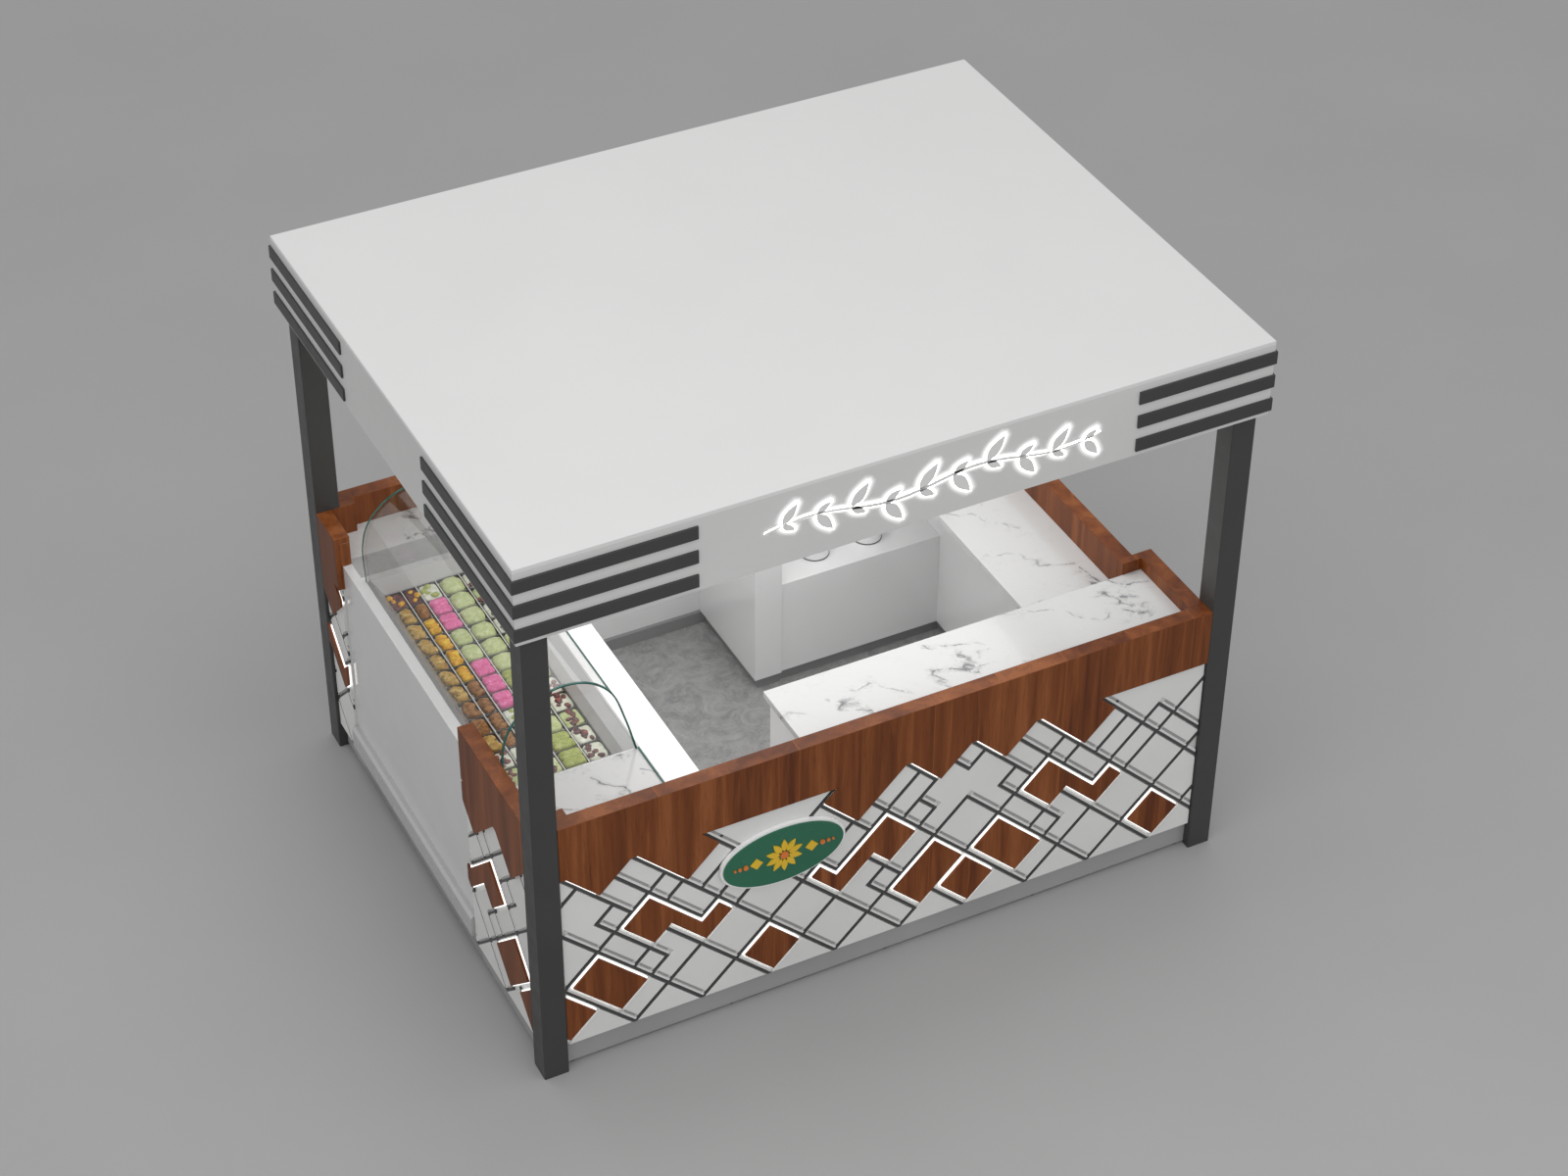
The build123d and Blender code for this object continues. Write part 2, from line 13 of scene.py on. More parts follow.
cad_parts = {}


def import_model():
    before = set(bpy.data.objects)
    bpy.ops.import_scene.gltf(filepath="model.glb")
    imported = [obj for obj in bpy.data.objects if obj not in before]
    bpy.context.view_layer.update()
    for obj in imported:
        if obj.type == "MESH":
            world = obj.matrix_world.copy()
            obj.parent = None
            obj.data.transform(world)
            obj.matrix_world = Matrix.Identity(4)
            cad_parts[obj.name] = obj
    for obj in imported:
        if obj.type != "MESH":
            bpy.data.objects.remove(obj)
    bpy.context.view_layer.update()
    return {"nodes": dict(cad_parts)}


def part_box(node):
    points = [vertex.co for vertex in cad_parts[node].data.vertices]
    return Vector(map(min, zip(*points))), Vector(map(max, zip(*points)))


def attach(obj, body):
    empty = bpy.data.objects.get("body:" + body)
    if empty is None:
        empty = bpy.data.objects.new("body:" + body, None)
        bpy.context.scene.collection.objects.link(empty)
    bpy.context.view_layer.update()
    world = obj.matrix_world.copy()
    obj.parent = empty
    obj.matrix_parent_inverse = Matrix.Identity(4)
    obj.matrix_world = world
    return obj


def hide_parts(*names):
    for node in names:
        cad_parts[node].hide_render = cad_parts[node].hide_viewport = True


# Street kiosk: finishes, fine detail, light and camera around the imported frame. Metres, +Z up.
# Each assembly gives its CAD nodes their finishes and adds or replaces pieces in shared mesh code.

LOG = logging.getLogger("kiosk")
BODY = "root"
SIDES = ("front", "back", "left", "right")
EAST, NORTH, UP = Vector((1, 0, 0)), Vector((0, 1, 0)), Vector((0, 0, 1))

WELD = 0.00002
CUT = 0.000001
FLAT_ANGLE = math.radians(1)
SHARP_ANGLE = math.radians(35)
CREASE_ANGLE = math.radians(40)
ROUND_STEPS = 2
FACING = 0.6

Colour = tuple[float, float, float]
Cell = tuple[int, int]
Point = tuple[float, float]
Outline = Sequence[Point]
Nodes = dict[str, bpy.types.Object]
Socket = bpy.types.NodeSocket


class Slot(Enum):
    """Material slots of the record, as named in the finishes."""

    ANTHRACITE = "anthracite"
    FOOD = "food"
    GLASS = "clear_glass"
    GLOW = "glow"
    MARBLE = "marble"
    PANEL = "wall_panel"
    WHITE = "white_gloss"
    WOOD = "wood"


class FoodKind(Enum):
    """What lies in one pan of the display: the dark, middle and light tone of each kind."""

    BUN = ((0.27, 0.13, 0.020), (0.53, 0.32, 0.065), (0.76, 0.58, 0.23))
    AMBER = ((0.52, 0.20, 0.005), (0.80, 0.42, 0.010), (0.92, 0.66, 0.06))
    DARK = ((0.11, 0.035, 0.006), (0.30, 0.12, 0.020), (0.50, 0.24, 0.06))
    WHITE = ((0.55, 0.60, 0.42), (0.74, 0.76, 0.62), (0.86, 0.86, 0.80))
    PINK = ((0.60, 0.05, 0.22), (0.76, 0.11, 0.34), (0.86, 0.27, 0.49))
    PALE = ((0.36, 0.44, 0.15), (0.50, 0.57, 0.25), (0.64, 0.69, 0.42))
    OLIVE = ((0.24, 0.29, 0.035), (0.37, 0.42, 0.08), (0.50, 0.54, 0.18))
    MIXED = ((0.035, 0.012, 0.018), (0.12, 0.03, 0.035), (0.34, 0.09, 0.06))


# ---- shader graphs ------------------------------------------------------------------------


def grey(value: float, drop: float = 0.0) -> Colour:
    """A grey, with its blue part lowered by some amount."""
    return value, value, value - drop


def shade(colour: Colour, factor: float) -> Colour:
    """A colour made darker or lighter by a factor."""
    return tuple(min(1.0, part * factor) for part in colour)


class Graph:
    """One material's node tree, with short calls for the nodes that the finishes share."""

    def __init__(self, name: str) -> None:
        """Start the empty tree of a new material.

        Args:
            name: name of the material.
        """
        self.material = bpy.data.materials.new(name)
        self.material.use_nodes = True
        self.tree = self.material.node_tree
        self.tree.nodes.clear()
        self.output = self.node("OutputMaterial")
        self.position = self.node("TexCoord").outputs["Object"]

    def node(self, kind: str, inputs: dict | None = None, **settings: object) -> bpy.types.Node:
        """Add a node.

        Args:
            kind: Blender's name of the node type, after its first word.
            inputs: plain values or output sockets, by the number or name of the input.
            settings: properties of the node by name.

        Returns:
            The new node.
        """
        made = self.tree.nodes.new("ShaderNode" + kind)
        for key, value in settings.items():
            setattr(made, key, value)
        for key, value in (inputs or {}).items():
            socket = made.inputs[key]
            if isinstance(value, Socket):
                self.tree.links.new(value, socket)
            else:
                socket.default_value = (*value, 1.0) if socket.type == "RGBA" else value
        return made

    def math(self, operation: str, *values: object) -> Socket:
        """The result of a math node."""
        return self.node("Math", dict(enumerate(values)), operation=operation).outputs[0]

    def plus(self, first: object, second: object) -> Socket:
        """A sum."""
        return self.math("ADD", first, second)

    def times(self, first: object, *others: object) -> Socket:
        """A product of two or more values.

        Args:
            first: first value.
            others: the other values.

        Returns:
            The result socket.
        """
        for other in others:
            first = self.math("MULTIPLY", first, other)
        return first

    def split(self, vector: Socket) -> Sequence[Socket]:
        """The x, y and z of a vector."""
        return self.node("SeparateXYZ", {0: vector}).outputs

    def scaled(self, factors: Colour, vector: Socket | None = None) -> Socket:
        """A vector, or the object's position, stretched by a factor along each axis."""
        return self.node("VectorMath", {0: vector or self.position, 1: factors}, operation="MULTIPLY").outputs[0]

    def noise(self, scale: float, detail: float = 3.0, roughness: float = 0.5, vector: Socket | None = None,
              distortion: float = 0.0) -> Socket:
        """Soft noise between 0 and 1.

        Args:
            scale: number of features in a metre.
            detail: number of finer layers.
            roughness: weight of the finer layers.
            vector: where to read it, or None for the object's position.
            distortion: how far the pattern is pulled about.

        Returns:
            The value socket.
        """
        inputs = {"Vector": vector or self.position, "Scale": scale, "Detail": detail, "Roughness": roughness,
                  "Distortion": distortion}
        return self.node("TexNoise", inputs).outputs["Fac"]

    def ridge(self, *settings: object) -> Socket:
        """Noise with these settings turned into winding lines, where it is zero."""
        return self.math("ABSOLUTE", self.math("SUBTRACT", self.noise(*settings), 0.5))

    def ramp(self, value: object, *stops: tuple[float, Colour]) -> Socket:
        """A colour ramp.

        Args:
            value: the value to look up.
            stops: places between 0 and 1, each with its colour.

        Returns:
            The colour socket.
        """
        made = self.node("ValToRGB", {0: value})
        elements = made.color_ramp.elements
        for _ in stops[2:]:
            elements.new(0.5)
        for element, (place, colour) in zip(elements, stops):
            element.position, element.color = place, (*colour, 1.0)
        return made.outputs["Color"]

    def tones(self, value: object, colour: Colour, *stops: Point) -> Socket:
        """A ramp of one colour: each stop has a place and a factor for the colour."""
        return self.ramp(value, *((place, shade(colour, factor)) for place, factor in stops))

    def level(self, value: object, low: float, high: float, start: float = 0.0, end: float = 1.0) -> Socket:
        """A value carried from the range low to high to the range start to end, and held inside it."""
        return self.node("MapRange", dict(enumerate((value, low, high, start, end)))).outputs[0]

    def mix(self, factor: object, first: object, second: object) -> Socket:
        """A colour between two others, with a factor of 1 for the second."""
        return self.node("Mix", {0: factor, 6: first, 7: second}, data_type="RGBA").outputs[2]

    def looks(self, axis: int) -> Socket:
        """1 on faces that look along an axis, and 0 elsewhere."""
        normal = self.node("NewGeometry").outputs["Normal"]
        return self.math("GREATER_THAN", self.math("ABSOLUTE", self.split(normal)[axis]), FACING)

    def bump(self, height: object, depth: float, strength: float = 1.0) -> Socket:
        """A normal from a height between 0 and 1, and the metres that its full range stands for."""
        return self.node("Bump", {"Height": height, "Distance": depth, "Strength": strength}).outputs[0]

    def end(self, shader: bpy.types.Node) -> None:
        """End the tree with a shader."""
        self.tree.links.new(shader.outputs[0], self.output.inputs["Surface"])

    def blend(self, share: object, first: bpy.types.Node, second: bpy.types.Node) -> None:
        """End the tree with two shaders blended by the share of the second."""
        self.end(self.node("MixShader", {0: share, 1: first.outputs[0], 2: second.outputs[0]}))

    def surface(self, colour: object, roughness: object, normal: Socket | None = None, **values: object) -> None:
        """End the tree with the common surface shader.

        Args:
            colour: base colour.
            roughness: roughness.
            normal: normal socket, or None.
            values: other inputs of the shader by name, with spaces as underscores.
        """
        inputs = {"Base Color": colour, "Roughness": roughness}
        if normal:
            inputs["Normal"] = normal
        inputs.update((key.replace("_", " "), value) for key, value in values.items())
        self.end(self.node("BsdfPrincipled", inputs))


# ---- finishes -----------------------------------------------------------------------------


@dataclass(frozen=True)
class Finish:
    """A finish: its looks, and in most kinds the name of a slot of the record."""

    name: str

    @cached_property
    def material(self) -> bpy.types.Material:
        """The material, made at its first use.

        Returns:
            The material.
        """
        graph = Graph(self.name)
        self.draw(graph)
        return graph.material

    def draw(self, graph: Graph) -> None:
        """Fill the material's node tree."""
        raise NotImplementedError


@dataclass(frozen=True)
class Paint(Finish):
    """Sprayed paint or powder coat with a faint cloud and a fine grain."""

    colour: Colour
    roughness: float = 0.45
    cloud: float = 0.05
    grain: float = 0.00006
    coat: float = 0.0
    metallic: float = 0.0
    slot: Slot = Slot.PANEL

    def draw(self, graph: Graph) -> None:
        """Cloud, grain and uneven gloss.

        Args:
            graph: node tree of the new material.
        """
        cloud = graph.noise(1.7, 4.0, 0.55)
        colour = graph.tones(cloud, self.colour, (0.3, 1 - self.cloud), (0.7, 1 + self.cloud))
        rough = graph.level(graph.noise(12.0), 0.3, 0.7, self.roughness - 0.04, self.roughness + 0.05)
        bump = graph.bump(graph.noise(900.0, 2.0), self.grain)
        graph.surface(colour, rough, bump, Coat_Weight=self.coat, Metallic=self.metallic)


@dataclass(frozen=True)
class Laminate(Finish):
    """Glossy board with a faint orange-peel."""

    colour: Colour
    roughness: float = 0.14
    slot: Slot = Slot.WHITE

    def draw(self, graph: Graph) -> None:
        """Faint cloud, orange-peel and a clear coat.

        Args:
            graph: node tree of the new material.
        """
        colour = graph.tones(graph.noise(1.3), self.colour, (0.3, 0.975), (0.7, 1.02))
        rough = graph.level(graph.noise(7.0), 0.3, 0.7, self.roughness - 0.03, self.roughness + 0.06)
        peel = graph.bump(graph.noise(85.0, 2.0, 0.4), 0.00005)
        graph.surface(colour, rough, peel, Coat_Weight=0.25, Coat_Roughness=0.04)


@dataclass(frozen=True)
class Veneer(Finish):
    """Lacquered reddish wood boards with upright grain."""

    dark: Colour = (0.095, 0.022, 0.004)
    middle: Colour = (0.168, 0.045, 0.009)
    light: Colour = (0.255, 0.080, 0.022)
    board_width: float = 0.283
    board_start: float = 10.03
    joint_every: int = 2
    grain: Colour = (40.0, 40.0, 1.9)
    flat_grain: Colour = (16.0, 16.0, 4.0)
    slot: Slot = Slot.WOOD

    def draw(self, graph: Graph) -> None:
        """Boards with a tone of their own, fibres, streaks, pores, and joints drawn as lines of painted highlight.

        Args:
            graph: node tree of the new material.
        """
        x, y, z = graph.split(graph.position)
        sideways = graph.looks(0)
        run = graph.plus(graph.times(y, sideways), graph.times(x, graph.math("SUBTRACT", 1.0, sideways)))
        board = graph.math("DIVIDE", graph.plus(run, self.board_start), self.board_width)
        pick = graph.node("TexWhiteNoise", {"W": graph.math("FLOOR", board)}, noise_dimensions="1D")
        chance = pick.outputs["Value"]
        shifted = graph.node("CombineXYZ", {0: x, 1: y, 2: graph.plus(z, graph.times(chance, 4.0))}).outputs[0]
        choice = {0: graph.looks(2), 4: graph.scaled(self.grain, shifted), 5: graph.scaled(self.flat_grain, shifted)}
        where = graph.node("Mix", choice, data_type="VECTOR").outputs[1]
        fibres = graph.noise(1.0, 5.0, 0.62, where, 0.6)
        streaks = graph.noise(0.22, 3.0, 0.5, where, 1.4)
        figure = graph.plus(graph.times(fibres, 0.45), graph.times(streaks, 0.55))
        tone = graph.plus(figure, graph.times(graph.math("SUBTRACT", chance, 0.5), 0.10))
        colour = graph.ramp(tone, (0.36, self.dark), (0.5, self.middle), (0.64, self.light))
        gleam = graph.level(graph.noise(0.7, 2.0, 0.5, where, 0.9), 0.64, 0.76, 0.0, 0.30)
        colour = graph.mix(gleam, colour, shade(self.light, 1.5))
        pore = graph.level(graph.noise(6.0, 2.0, 0.7, where), 0.30, 0.42, 0.45, 0.0)
        colour = graph.mix(pore, colour, shade(self.dark, 0.7))
        # Painted highlight: a thin light line along each joint, for the light caught by the board edges.
        to_joint = graph.times(graph.math("PINGPONG", board, self.joint_every / 2), self.board_width)
        colour = graph.mix(graph.level(to_joint, 0.0008, 0.0022, 0.55, 0.0), colour, shade(self.light, 1.25))
        height = graph.math("SUBTRACT", fibres, graph.times(pore, 0.5))
        rough = graph.level(fibres, 0.3, 0.7, 0.36, 0.48)
        graph.surface(colour, rough, graph.bump(height, 0.0004, 0.6), Specular_IOR_Level=0.25)


@dataclass(frozen=True)
class Marble(Finish):
    """Polished white stone with broken grey veins that gather in clusters."""

    base: Colour = (0.58, 0.58, 0.575)
    vein: Colour = (0.11, 0.11, 0.115)
    turn: float = 0.6
    squash: float = 2.1
    pull: float = 0.26
    gather: Point = (0.45, 0.56)
    slot: Slot = Slot.MARBLE

    def draw(self, graph: Graph) -> None:
        """Main veins with a soft shadow and twigs, laid over the stone layer by layer.

        Args:
            graph: node tree of the new material.
        """
        turning = {"Vector": graph.position, "Angle": self.turn}
        turned = graph.node("VectorRotate", turning, rotation_type="Z_AXIS").outputs[0]
        pull = graph.node("TexNoise", {"Vector": graph.position, "Scale": 4.2, "Detail": 5.0}).outputs["Color"]
        shift = {0: graph.scaled((1.0, self.squash, 1.0), turned), 1: graph.scaled((self.pull,) * 3, pull)}
        where = graph.node("VectorMath", shift, operation="ADD").outputs[0]
        ridge = graph.ridge(1.9, 3.0, 0.5, where)
        branch = graph.ridge(7.5, 5.0, 0.6, where, 0.6)
        patch = graph.level(graph.noise(2.6, 2.0, 0.5, turned), *self.gather)
        broken = graph.level(graph.noise(17.0, 4.0, 0.65), 0.42, 0.56)
        close = graph.level(ridge, 0.004, 0.050, 1.0, 0.0)
        layers = ((ridge, 0.0, 0.040, 0.34, (patch,), 2.2), (branch, 0.0, 0.010, 0.16, (), 1.8),
                  (branch, 0.002, 0.022, 0.75, (close, patch), 1.2), (ridge, 0.001, 0.011, 0.95, (patch,), 1.0))
        colour = self.base
        for line, inner, outer, cover, masks, factor in layers:
            share = graph.times(graph.level(line, inner, outer, cover, 0.0), broken, *masks)
            colour = graph.mix(share, colour, shade(self.vein, factor))
        graph.surface(colour, 0.16, graph.bump(graph.noise(60.0, 2.0), 0.00004), Coat_Weight=0.3, Coat_Roughness=0.05)


@dataclass(frozen=True)
class Glow(Finish):
    """Acrylic lit from behind, a touch uneven; also used for the faint rings of painted glow around the sign."""

    colour: Colour = (1.0, 1.0, 0.985)
    strength: float = 1.25
    base: float = 0.85
    slot: Slot = Slot.GLOW

    def draw(self, graph: Graph) -> None:
        """A pale body that gives light.

        Args:
            graph: node tree of the new material.
        """
        colour = graph.tones(graph.noise(9.0, 2.0), self.colour, (0.35, 0.94), (0.65, 1.0))
        body = (self.base, self.base, self.base * 0.99)
        bump = graph.bump(graph.noise(300.0, 2.0), 0.00003)
        graph.surface(body, 0.35, bump, Emission_Color=colour, Emission_Strength=self.strength)


@dataclass(frozen=True)
class StoneFloor(Finish):
    """Grey mottled floor sheet."""

    dark: Colour = (0.21, 0.21, 0.208)
    middle: Colour = (0.31, 0.31, 0.306)
    light: Colour = (0.42, 0.42, 0.415)

    def draw(self, graph: Graph) -> None:
        """Mottles with light winding lines and dark specks.

        Args:
            graph: node tree of the new material.
        """
        broad = graph.noise(9.0, 7.0, 0.70, None, 1.5)
        colour = graph.ramp(broad, (0.30, self.dark), (0.5, self.middle), (0.72, self.light))
        lines = graph.level(graph.ridge(14.0, 6.0, 0.62, None, 1.8), 0.0, 0.05, 0.38, 0.0)
        specks = graph.level(graph.noise(240.0, 2.0), 0.55, 0.75, 0.0, 0.25)
        colour = graph.mix(specks, graph.mix(lines, colour, self.light), self.dark)
        graph.surface(colour, graph.level(broad, 0.3, 0.7, 0.42, 0.6), graph.bump(broad, 0.0005, 0.4))


@dataclass(frozen=True)
class ClearGlass(Finish):
    """The face of a thin clear pane, with a faint sheen."""

    gloss: float = 0.16
    tint: float = 0.97
    slot: Slot = Slot.GLASS

    def draw(self, graph: Graph) -> None:
        """A see-through face with some reflection and faint smears.

        Args:
            graph: node tree of the new material.
        """
        smear = graph.level(graph.noise(5.0, 4.0, 0.6), 0.45, 0.75, 0.0, 0.012)
        sheen = graph.times(graph.node("Fresnel", {"IOR": 1.45}).outputs[0], self.gloss)
        clear = graph.node("BsdfTransparent", {0: shade((1.0, 1.0, 0.998), self.tint)})
        graph.blend(graph.plus(sheen, smear), clear, graph.node("BsdfGlossy", {"Roughness": 0.03}))


@dataclass(frozen=True)
class GlassRim(Finish):
    """The green cut edge of a pane, half seen through."""

    colour: Colour = (0.006, 0.085, 0.068)
    cover: float = 0.92
    slot: Slot = Slot.GLASS

    def draw(self, graph: Graph) -> None:
        """A glossy green body, thinned out.

        Args:
            graph: node tree of the new material.
        """
        tone = graph.tones(graph.noise(40.0), self.colour, (0.3, 1.0), (0.7, 1.6))
        body = graph.node("BsdfPrincipled", {"Base Color": tone, "Roughness": 0.12})
        graph.blend(self.cover, graph.node("BsdfTransparent"), body)


@dataclass(frozen=True)
class Sawn(Finish):
    """Sawn pale timber for what the ceiling hides."""

    colour: Colour = (0.42, 0.29, 0.17)

    def draw(self, graph: Graph) -> None:
        """Long dull rings.

        Args:
            graph: node tree of the new material.
        """
        rings = graph.noise(1.0, 4.0, 0.6, graph.scaled((55.0, 3.0, 55.0)), 0.5)
        colour = graph.tones(rings, self.colour, (0.35, 0.75), (0.65, 1.2))
        graph.surface(colour, 0.75, graph.bump(rings, 0.0006, 0.5))


@dataclass(frozen=True)
class Food(Finish):
    """Soft moist food in three tones."""

    dark: Colour
    middle: Colour
    light: Colour
    scale: float = 45.0
    slot: Slot = Slot.FOOD

    def draw(self, graph: Graph) -> None:
        """Blots, a fine uneven skin and some light let through.

        Args:
            graph: node tree of the new material.
        """
        broad = graph.noise(self.scale, 4.0, 0.6, None, 0.8)
        colour = graph.ramp(broad, (0.3, self.dark), (0.5, self.middle), (0.68, self.light))
        fine = graph.noise(self.scale * 6)
        graph.surface(colour, graph.level(fine, 0.3, 0.7, 0.3, 0.55), graph.bump(fine, 0.0012, 0.6),
                      Subsurface_Weight=0.08, Subsurface_Radius=(0.01, 0.006, 0.004), Subsurface_Scale=0.4)


class Finishes:
    """Every finish of the kiosk."""

    ROOF = Paint("roof_paint", grey(0.69, 0.005), 0.42, 0.012)
    FASCIA = Paint("fascia_paint", grey(0.60, 0.005), 0.4, 0.02)
    CEILING = Paint("ceiling_paint", grey(0.72, 0.005), 0.5, 0.02)
    ANTHRACITE = Paint("anthracite_coat", (0.037, 0.038, 0.037), 0.42, 0.10, 0.00012, slot=Slot.ANTHRACITE)
    STRIP = Paint("strip_coat", (0.050, 0.052, 0.052), 0.4, 0.12, 0.0001)
    PANEL = Paint("panel_paint", grey(0.64, 0.01), 0.42, 0.03)
    TILE = Paint("light_tile_paint", grey(0.70, 0.01), 0.38)
    KICK = Paint("kick_paint", grey(0.33), 0.45, 0.06)
    SKIRTING = Paint("skirting_paint", grey(0.27), 0.5, 0.06)
    # Painted shade: grey strips laid in the slots behind the tile lips, standing for the shade in those slots.
    SHADOW = Paint("slot_painted_shade", grey(0.33), 0.6, 0.08, slot=Slot.ANTHRACITE)
    RUBBER = Paint("foot_rubber", grey(0.02), 0.7, 0.1, 0.0003)
    DIVIDER = Paint("divider_coat", grey(0.10, 0.005), 0.35, 0.2, metallic=0.4)
    GREEN = Paint("plaque_green", (0.006, 0.120, 0.062), 0.3, 0.12, coat=0.3)
    YELLOW = Paint("plaque_yellow", (0.72, 0.46, 0.015), 0.32, 0.1, coat=0.3)
    ORANGE = Paint("plaque_orange", (0.66, 0.17, 0.02), 0.32, 0.1, coat=0.3)
    WHITE = Laminate("white_laminate", grey(0.88))
    LINING = Laminate("lining_laminate", grey(0.84), 0.22)
    # Painted shade: the display's front panel and lip take the white laminate darkened to grey, for the shade they
    # stand in.
    DISPLAY = Laminate("display_shaded_laminate", grey(0.64), 0.2)
    # Painted shade: the plinth takes the white laminate darkened further, for the shade on it.
    PLINTH = Laminate("plinth_shaded_laminate", grey(0.46), 0.25)
    SHELF = Laminate("shelf_laminate", grey(0.95), 0.2)
    # Painted shade: a dark grey for the thin plate on the slab beside the well, standing for the shaded step there.
    LEDGE = Laminate("ledge_painted_shade", grey(0.36), 0.25)
    # Painted shade: a dark grey for the thin plate laid over the well's sloping side, standing for the shade on that
    # face.
    SIDE = Laminate("well_side_painted_shade", grey(0.24), 0.3)
    # Painted shade: the well and its rear face take the white laminate darkened to grey, for the shade inside the
    # well.
    WELL = Laminate("well_shaded_laminate", grey(0.55), 0.2)
    WOOD = Veneer("red_veneer")
    TIMBER = Sawn("sawn_timber")
    MARBLE = Marble("veined_marble")
    SLAB = Marble("slab_marble", turn=0.9, gather=(0.20, 0.35))
    FLOOR = StoneFloor("mottled_floor")
    GLOW = Glow("lit_acrylic")
    SIGN_GLOW = Glow("sign_acrylic", strength=6.0)
    # Painted glow: faint emissive rings that paint the sign's light onto the fascia, fainter further out.
    PAINTED_GLOW = tuple(Glow(f"haze_{number}", strength=strength, base=0.05)
                 for number, strength in enumerate((0.52, 0.70, 1.0), 1))
    PANE = ClearGlass("clear_pane")
    SHEET = ClearGlass("tinted_sheet", tint=0.92)
    RIM = GlassRim("pane_rim")
    TRAY = Food("tray_lining", (0.60, 0.60, 0.56), (0.74, 0.74, 0.70), (0.84, 0.84, 0.81), 30.0)


# ---- meshes -------------------------------------------------------------------------------


class Piece:
    """A mesh in the making that becomes one piece of the kiosk."""

    def __init__(self) -> None:
        """Start with an empty mesh."""
        self.mesh = bmesh.new()

    def store(self, name: str, finish: Finish, replaces: str | None = None, crease: float | None = None,
              cut: Finish | None = None) -> None:
        """Store the mesh as an object that rides on the kiosk.

        Args:
            name: name of the piece.
            finish: its finish.
            replaces: the CAD node that it stands for, if any.
            crease: angle from which edges stay sharp in smooth shading, or None for flat shading.
            cut: finish of the faces that carry index 1, if any.
        """
        self.face_outwards()
        data = bpy.data.meshes.new(name)
        self.mesh.to_mesh(data)
        self.mesh.free()
        for face in data.polygons:
            face.use_smooth = crease is not None
        if crease is not None:
            data.set_sharp_from_angle(angle=crease)
        made = link(name, data)
        for one in (finish, cut) if cut else (finish,):
            data.materials.append(one.material)
        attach(made, BODY)
        if replaces:
            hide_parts(replaces)
        LOG.info("%s: %d faces", name, len(data.polygons))

    def bodies(self) -> Iterable[list[bmesh.types.BMFace]]:
        """Find the separate bodies in the mesh.

        Returns:
            The faces of each body.
        """
        left = dict.fromkeys(self.mesh.faces)
        while left:
            body = [left.popitem()[0]]
            for face in body:
                for other in [other for line in face.edges for other in line.link_faces]:
                    if other in left:
                        del left[other]
                        body.append(other)
            yield body

    def face_outwards(self) -> None:
        """Turn every face outwards, so that each body has a positive volume."""
        bmesh.ops.recalc_face_normals(self.mesh, faces=self.mesh.faces)
        for body in self.bodies():
            volume, base = 0.0, body[0].verts[0].co.copy()
            for face in body:
                first, *others = (vert.co - base for vert in face.verts)
                volume += sum(first.dot(one.cross(other)) for one, other in zip(others, others[1:]))
            if volume < 0:
                bmesh.ops.reverse_faces(self.mesh, faces=body)

    @staticmethod
    def soften(node: bpy.types.Object, finish: Finish, width: float) -> None:
        """Put a copy of a CAD node with rounded edges in the node's place.

        Args:
            node: the CAD node.
            finish: finish of the copy.
            width: width of the rounded edges.
        """
        piece = Piece()
        mesh = piece.mesh
        mesh.from_mesh(node.data)
        bmesh.ops.remove_doubles(mesh, verts=mesh.verts, dist=WELD)
        bmesh.ops.dissolve_limit(mesh, angle_limit=FLAT_ANGLE, verts=mesh.verts, edges=mesh.edges)
        piece.round([edge for edge in mesh.edges if edge.is_manifold and edge.calc_face_angle(0.0) > SHARP_ANGLE],
                    width, clamp_overlap=True)
        piece.store(node.name + "_soft", finish, node.name)

    def round(self, edges: Iterable[bmesh.types.BMEdge], width: float, **settings: object) -> None:
        """Round some edges, unless the width is zero.

        Args:
            edges: the edges.
            width: width of the rounding.
            settings: other settings of the bevel by name.
        """
        if width > 0:
            plan = {"segments": ROUND_STEPS, "profile": 0.5, "affect": "EDGES", **settings}
            made = bmesh.ops.bevel(self.mesh, geom=list(edges), offset=width, **plan)
            bmesh.ops.remove_doubles(self.mesh, verts=made["verts"], dist=CUT)

    def block(self, low: Sequence[float], high: Sequence[float], edge: float = 0.0) -> None:
        """Add a box with rounded edges.

        Args:
            low: lowest corner.
            high: highest corner.
            edge: width of the rounded edges.
        """
        low, high = Vector(low), Vector(high)
        matrix = Matrix.Translation((low + high) / 2) @ Matrix.Diagonal((*(high - low), 1.0))
        made = bmesh.ops.create_cube(self.mesh, size=1.0, matrix=matrix)
        self.round(dict.fromkeys(line for vert in made["verts"] for line in vert.link_edges), edge)

    def join(self, first: Sequence, second: Sequence, closed: bool = True, index: int = 0) -> None:
        """Fill the gap between two runs of corners with faces.

        Args:
            first: corners of one run, or the single corner where it ends.
            second: corners of the other run.
            closed: whether the last corners join the first ones.
            index: number of the faces' finish.
        """
        count = max(len(first), len(second))
        for start in range(count if closed else count - 1):
            end = (start + 1) % count
            around = ((first, start), (first, end), (second, end), (second, start))
            corners = dict.fromkeys(run[at % len(run)] for run, at in around)
            self.mesh.faces.new(list(corners)).material_index = index

    def prism(self, outline: Iterable[Sequence[float]], way: Sequence[float], edge: float = 0.0) -> None:
        """Add an outline carried along a vector, with its far rim rounded.

        Args:
            outline: corners in turn.
            way: how far and which way it is carried.
            edge: width of the rounded rim.
        """
        points = [Vector(point) for point in outline]
        near, far = ([self.mesh.verts.new(point + shift) for point in points] for shift in (Vector(), Vector(way)))
        self.mesh.faces.new(near[::-1])
        top = self.mesh.faces.new(far)
        self.join(near, far)
        self.round(top.edges, edge)

